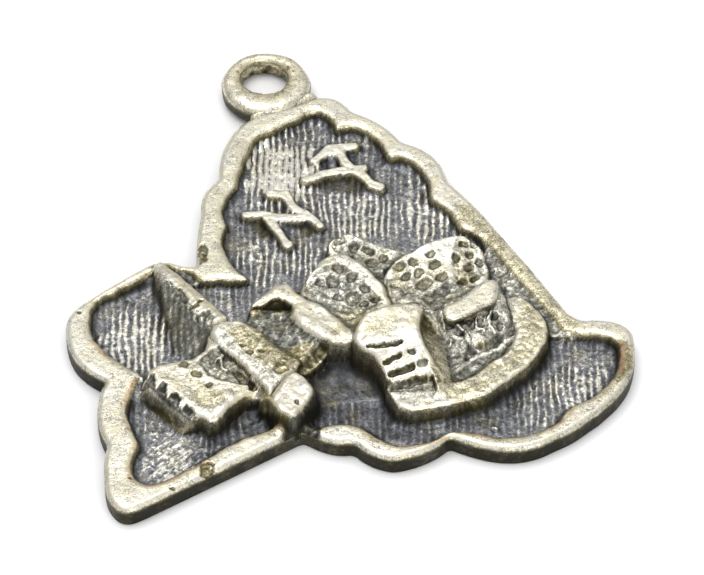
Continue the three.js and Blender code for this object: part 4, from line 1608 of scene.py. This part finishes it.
class PENDANT_OT_eye_ring(bpy.types.Operator):
    """Make the eye ring and the solder that holds it"""

    bl_idname = "pendant.eye_ring"
    bl_label = "Eye ring"

    # Points around the ring and around its section
    around = 180
    section = 44

    def execute(self, context):
        sheet = self.ring_sheet(context.scene.map_pendant.shape)
        ring = mesh_piece("eye_ring", sheet, [face_silver()], own_normals=False)
        settled(ring, ["bail_ring"])
        pillow("solder", "bail_neck", 0.5, 0.04, seed=62, tone=(0.80, 0.6), swell=0.16)
        return {"FINISHED"}

    def ring_sheet(self, shape):
        """A closed ring with a rounded square section, its hole shifted away from the plate."""
        squareness = 2.6
        low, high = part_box("bail_ring")
        radius = (high.x / MM - low.x / MM) / 2
        centre_x = (low.x / MM + high.x / MM) / 2
        centre_y = high.y / MM - radius
        centre_z = (low.z + high.z) / 2 / MM
        half_height = (high.z - low.z) / 2 / MM

        turn = np.linspace(0, 2 * math.pi, self.around, endpoint=False)
        angle = np.linspace(0, 2 * math.pi, self.section, endpoint=False)
        turn, angle = np.meshgrid(turn, angle, indexing="ij")
        hole_ahead = shape.hole_shift * np.sin(turn)
        hole_aside = shape.hole_shift * np.cos(turn)
        hole_edge = hole_ahead + np.sqrt(shape.hole_radius ** 2 - hole_aside ** 2)
        half_width = (radius - hole_edge) / 2
        out, rise = (
            np.sign(part) * np.abs(part) ** (2 / squareness)
            for part in (np.cos(angle), np.sin(angle))
        )
        round_x = 2.0 * np.cos(turn)
        round_y = 2.0 * np.sin(turn)
        lumps = 1 + 0.05 * cloud(round_x + 0.4 * out, round_y + 0.4 * rise, 0.8, seed=71)
        dent = 0.04 * smooth(out, 0.2, -0.6)
        lumps = lumps + dent * cloud(round_x, round_y + rise, 0.35, seed=74)
        reach = radius - half_width + half_width * out * lumps
        points = np.stack([
            centre_x + reach * np.cos(turn),
            centre_y + reach * np.sin(turn),
            centre_z + half_height * rise * lumps,
        ], axis=-1)
        sheet = Sheet()
        tone = self.ring_tone(points, out, rise)
        sheet.add_points(points.reshape(-1, 3), 0.0, tone.reshape(-1, 2))
        sheet.add_faces(self.ring_faces())
        return sheet

    def ring_tone(self, points, out, rise):
        """Bright on top, grimy inside with painted light on the upper wall of the hole, and black
        outside and below, patina with painted shade.
        """
        x, y, z = np.moveaxis(points, -1, 0)
        inward = smooth(out, 0.3, -0.6)
        up = np.clip(rise, 0, 1) ** 1.5
        # Painted light on the upper part of the wall of the hole.
        lit = inward * (1 - up) * smooth(rise, -1.0, 0.2)
        patch = cloud(x, y, 0.9, seed=72)
        grime = cloud(x, y + z, 0.22, seed=73)
        wear = RING_WEAR["least"] + RING_WEAR["top"] * smooth(up, 0.0, 0.45)
        wear = wear + RING_WEAR["lit wall"] * lit + RING_WEAR["grime"] * inward * grime
        wear = wear + RING_WEAR["chance"] * patch
        warmth = RING_WARMTH["all"] + RING_WARMTH["chance"] * patch
        warmth = np.minimum(warmth + RING_WARMTH["hole wall"] * inward, 1.0)
        return np.stack([wear, warmth], axis=-1)

    def ring_faces(self):
        i, j = np.meshgrid(np.arange(self.around), np.arange(self.section), indexing="ij")
        row = i * self.section
        next_row = (i + 1) % self.around * self.section
        after = (j + 1) % self.section
        faces = np.stack([row + j, next_row + j, next_row + after, row + after], axis=-1)
        return faces.reshape(-1, 4)


class PENDANT_OT_stage(bpy.types.Operator):
    """Set up the floor, the light and the camera"""

    bl_idname = "pendant.stage"
    bl_label = "Stage"

    def execute(self, context):
        light = context.scene.map_pendant.light
        self.add_floor(light)
        self.add_world(context.scene, light)
        self.add_lamps(light)
        self.add_camera(context.scene)
        context.scene.view_settings.view_transform = "Standard"
        return {"FINISHED"}

    def add_floor(self, light):
        """A pale floor just under the pendant, so that the two don't flicker into each other."""
        reach = 1.5
        below = 0.00002
        corners = [(-reach, -reach, 0), (reach, -reach, 0), (reach, reach, 0), (-reach, reach, 0)]
        mesh = bpy.data.meshes.new("floor")
        mesh.from_pydata(corners, [], [(0, 1, 2, 3)])
        material = bpy.data.materials.new("floor")
        material.use_nodes = True
        shader = material.node_tree.nodes["Principled BSDF"]
        shader.inputs["Base Color"].default_value = (*light.floor, 1.0)
        shader.inputs["Roughness"].default_value = 0.9
        shader.inputs["Specular IOR Level"].default_value = 0.1
        mesh.materials.append(material)
        floor = link_object("floor", mesh)
        floor.location.z = -below

    def add_world(self, scene, light):
        """Light from all round, dim at the horizon and strongest overhead."""
        world = bpy.data.worlds.new("studio")
        scene.world = world
        world.use_nodes = True
        tree = world.node_tree
        tree.nodes.clear()
        ray = node_output(tree, "ShaderNodeTexCoord", {}, {}, "Generated")
        height = node_output(tree, "ShaderNodeSeparateXYZ", {}, {0: ray}, 2)
        greys = [(0.0, 0.36), (0.30, 0.62), (0.62, 0.90), (0.95, 1.0)]
        shade = node_output(tree, "ShaderNodeValToRGB", {
            "stops": [(place, (grey, grey, grey)) for place, grey in greys],
        }, {"Fac": height})
        sky = node_output(tree, "ShaderNodeBackground", {}, {
            "Color": shade, "Strength": light.world,
        })
        add_node(tree, "ShaderNodeOutputWorld", {}, {"Surface": sky})

    def add_lamps(self, light):
        """The soft lamps, each aimed at the pendant."""
        for name, (place, size) in LAMPS.items():
            lamp = bpy.data.lights.new(name, "AREA")
            lamp.energy = getattr(light, name)
            lamp.shape = "RECTANGLE"
            lamp.size, lamp.size_y = size
            softbox = link_object(name, lamp)
            softbox.location = place
            softbox.rotation_euler = (-softbox.location).to_track_quat("-Z", "Y").to_euler()

    def add_camera(self, scene):
        """The photograph's camera."""
        lens = bpy.data.cameras.new("camera")
        lens.sensor_width = 36.0
        lens.lens = lens.sensor_width * FOCAL_PIXELS / PICTURE_WIDTH
        lens.clip_start = 0.01
        camera = link_object("camera", lens)
        right, up, forward = camera_axes()
        eye = (np.array(CAMERA_TARGET) - CAMERA_DISTANCE * forward) * MM
        turn = Matrix([right, up, -forward]).transposed()
        camera.matrix_world = Matrix.Translation(Vector(eye)) @ turn.to_4x4()
        scene.camera = camera


class PENDANT_PT_panel(bpy.types.Panel):
    """Buttons that build the pendant"""

    bl_idname = "PENDANT_PT_panel"
    bl_label = "Map pendant"
    bl_space_type = "VIEW_3D"
    bl_region_type = "UI"
    bl_category = "Pendant"

    def draw(self, context):
        settings = context.scene.map_pendant
        for group in (settings.shape, settings.finish, settings.light):
            box = self.layout.box()
            for name in group.__annotations__:
                box.prop(group, name)
        for operator in OPERATORS:
            self.layout.operator(operator.bl_idname)


OPERATORS = (
    PENDANT_OT_plate,
    PENDANT_OT_border,
    PENDANT_OT_city,
    PENDANT_OT_quay,
    PENDANT_OT_planes,
    PENDANT_OT_roof_slab,
    PENDANT_OT_eye_ring,
    PENDANT_OT_stage,
)
CLASSES = (
    PendantShape, PendantFinish, PendantLight, PendantSettings, *OPERATORS, PENDANT_PT_panel,
)


def register():
    for cls in CLASSES:
        bpy.utils.register_class(cls)
    bpy.types.Scene.map_pendant = bpy.props.PointerProperty(type=PendantSettings)


def unregister():
    del bpy.types.Scene.map_pendant
    for cls in reversed(CLASSES):
        bpy.utils.unregister_class(cls)


def main():
    register()
    bpy.ops.pendant.plate()
    bpy.ops.pendant.border()
    bpy.ops.pendant.city()
    bpy.ops.pendant.quay()
    bpy.ops.pendant.planes()
    bpy.ops.pendant.roof_slab()
    bpy.ops.pendant.eye_ring()
    bpy.ops.pendant.stage()


if __name__ == "__main__":
    main()
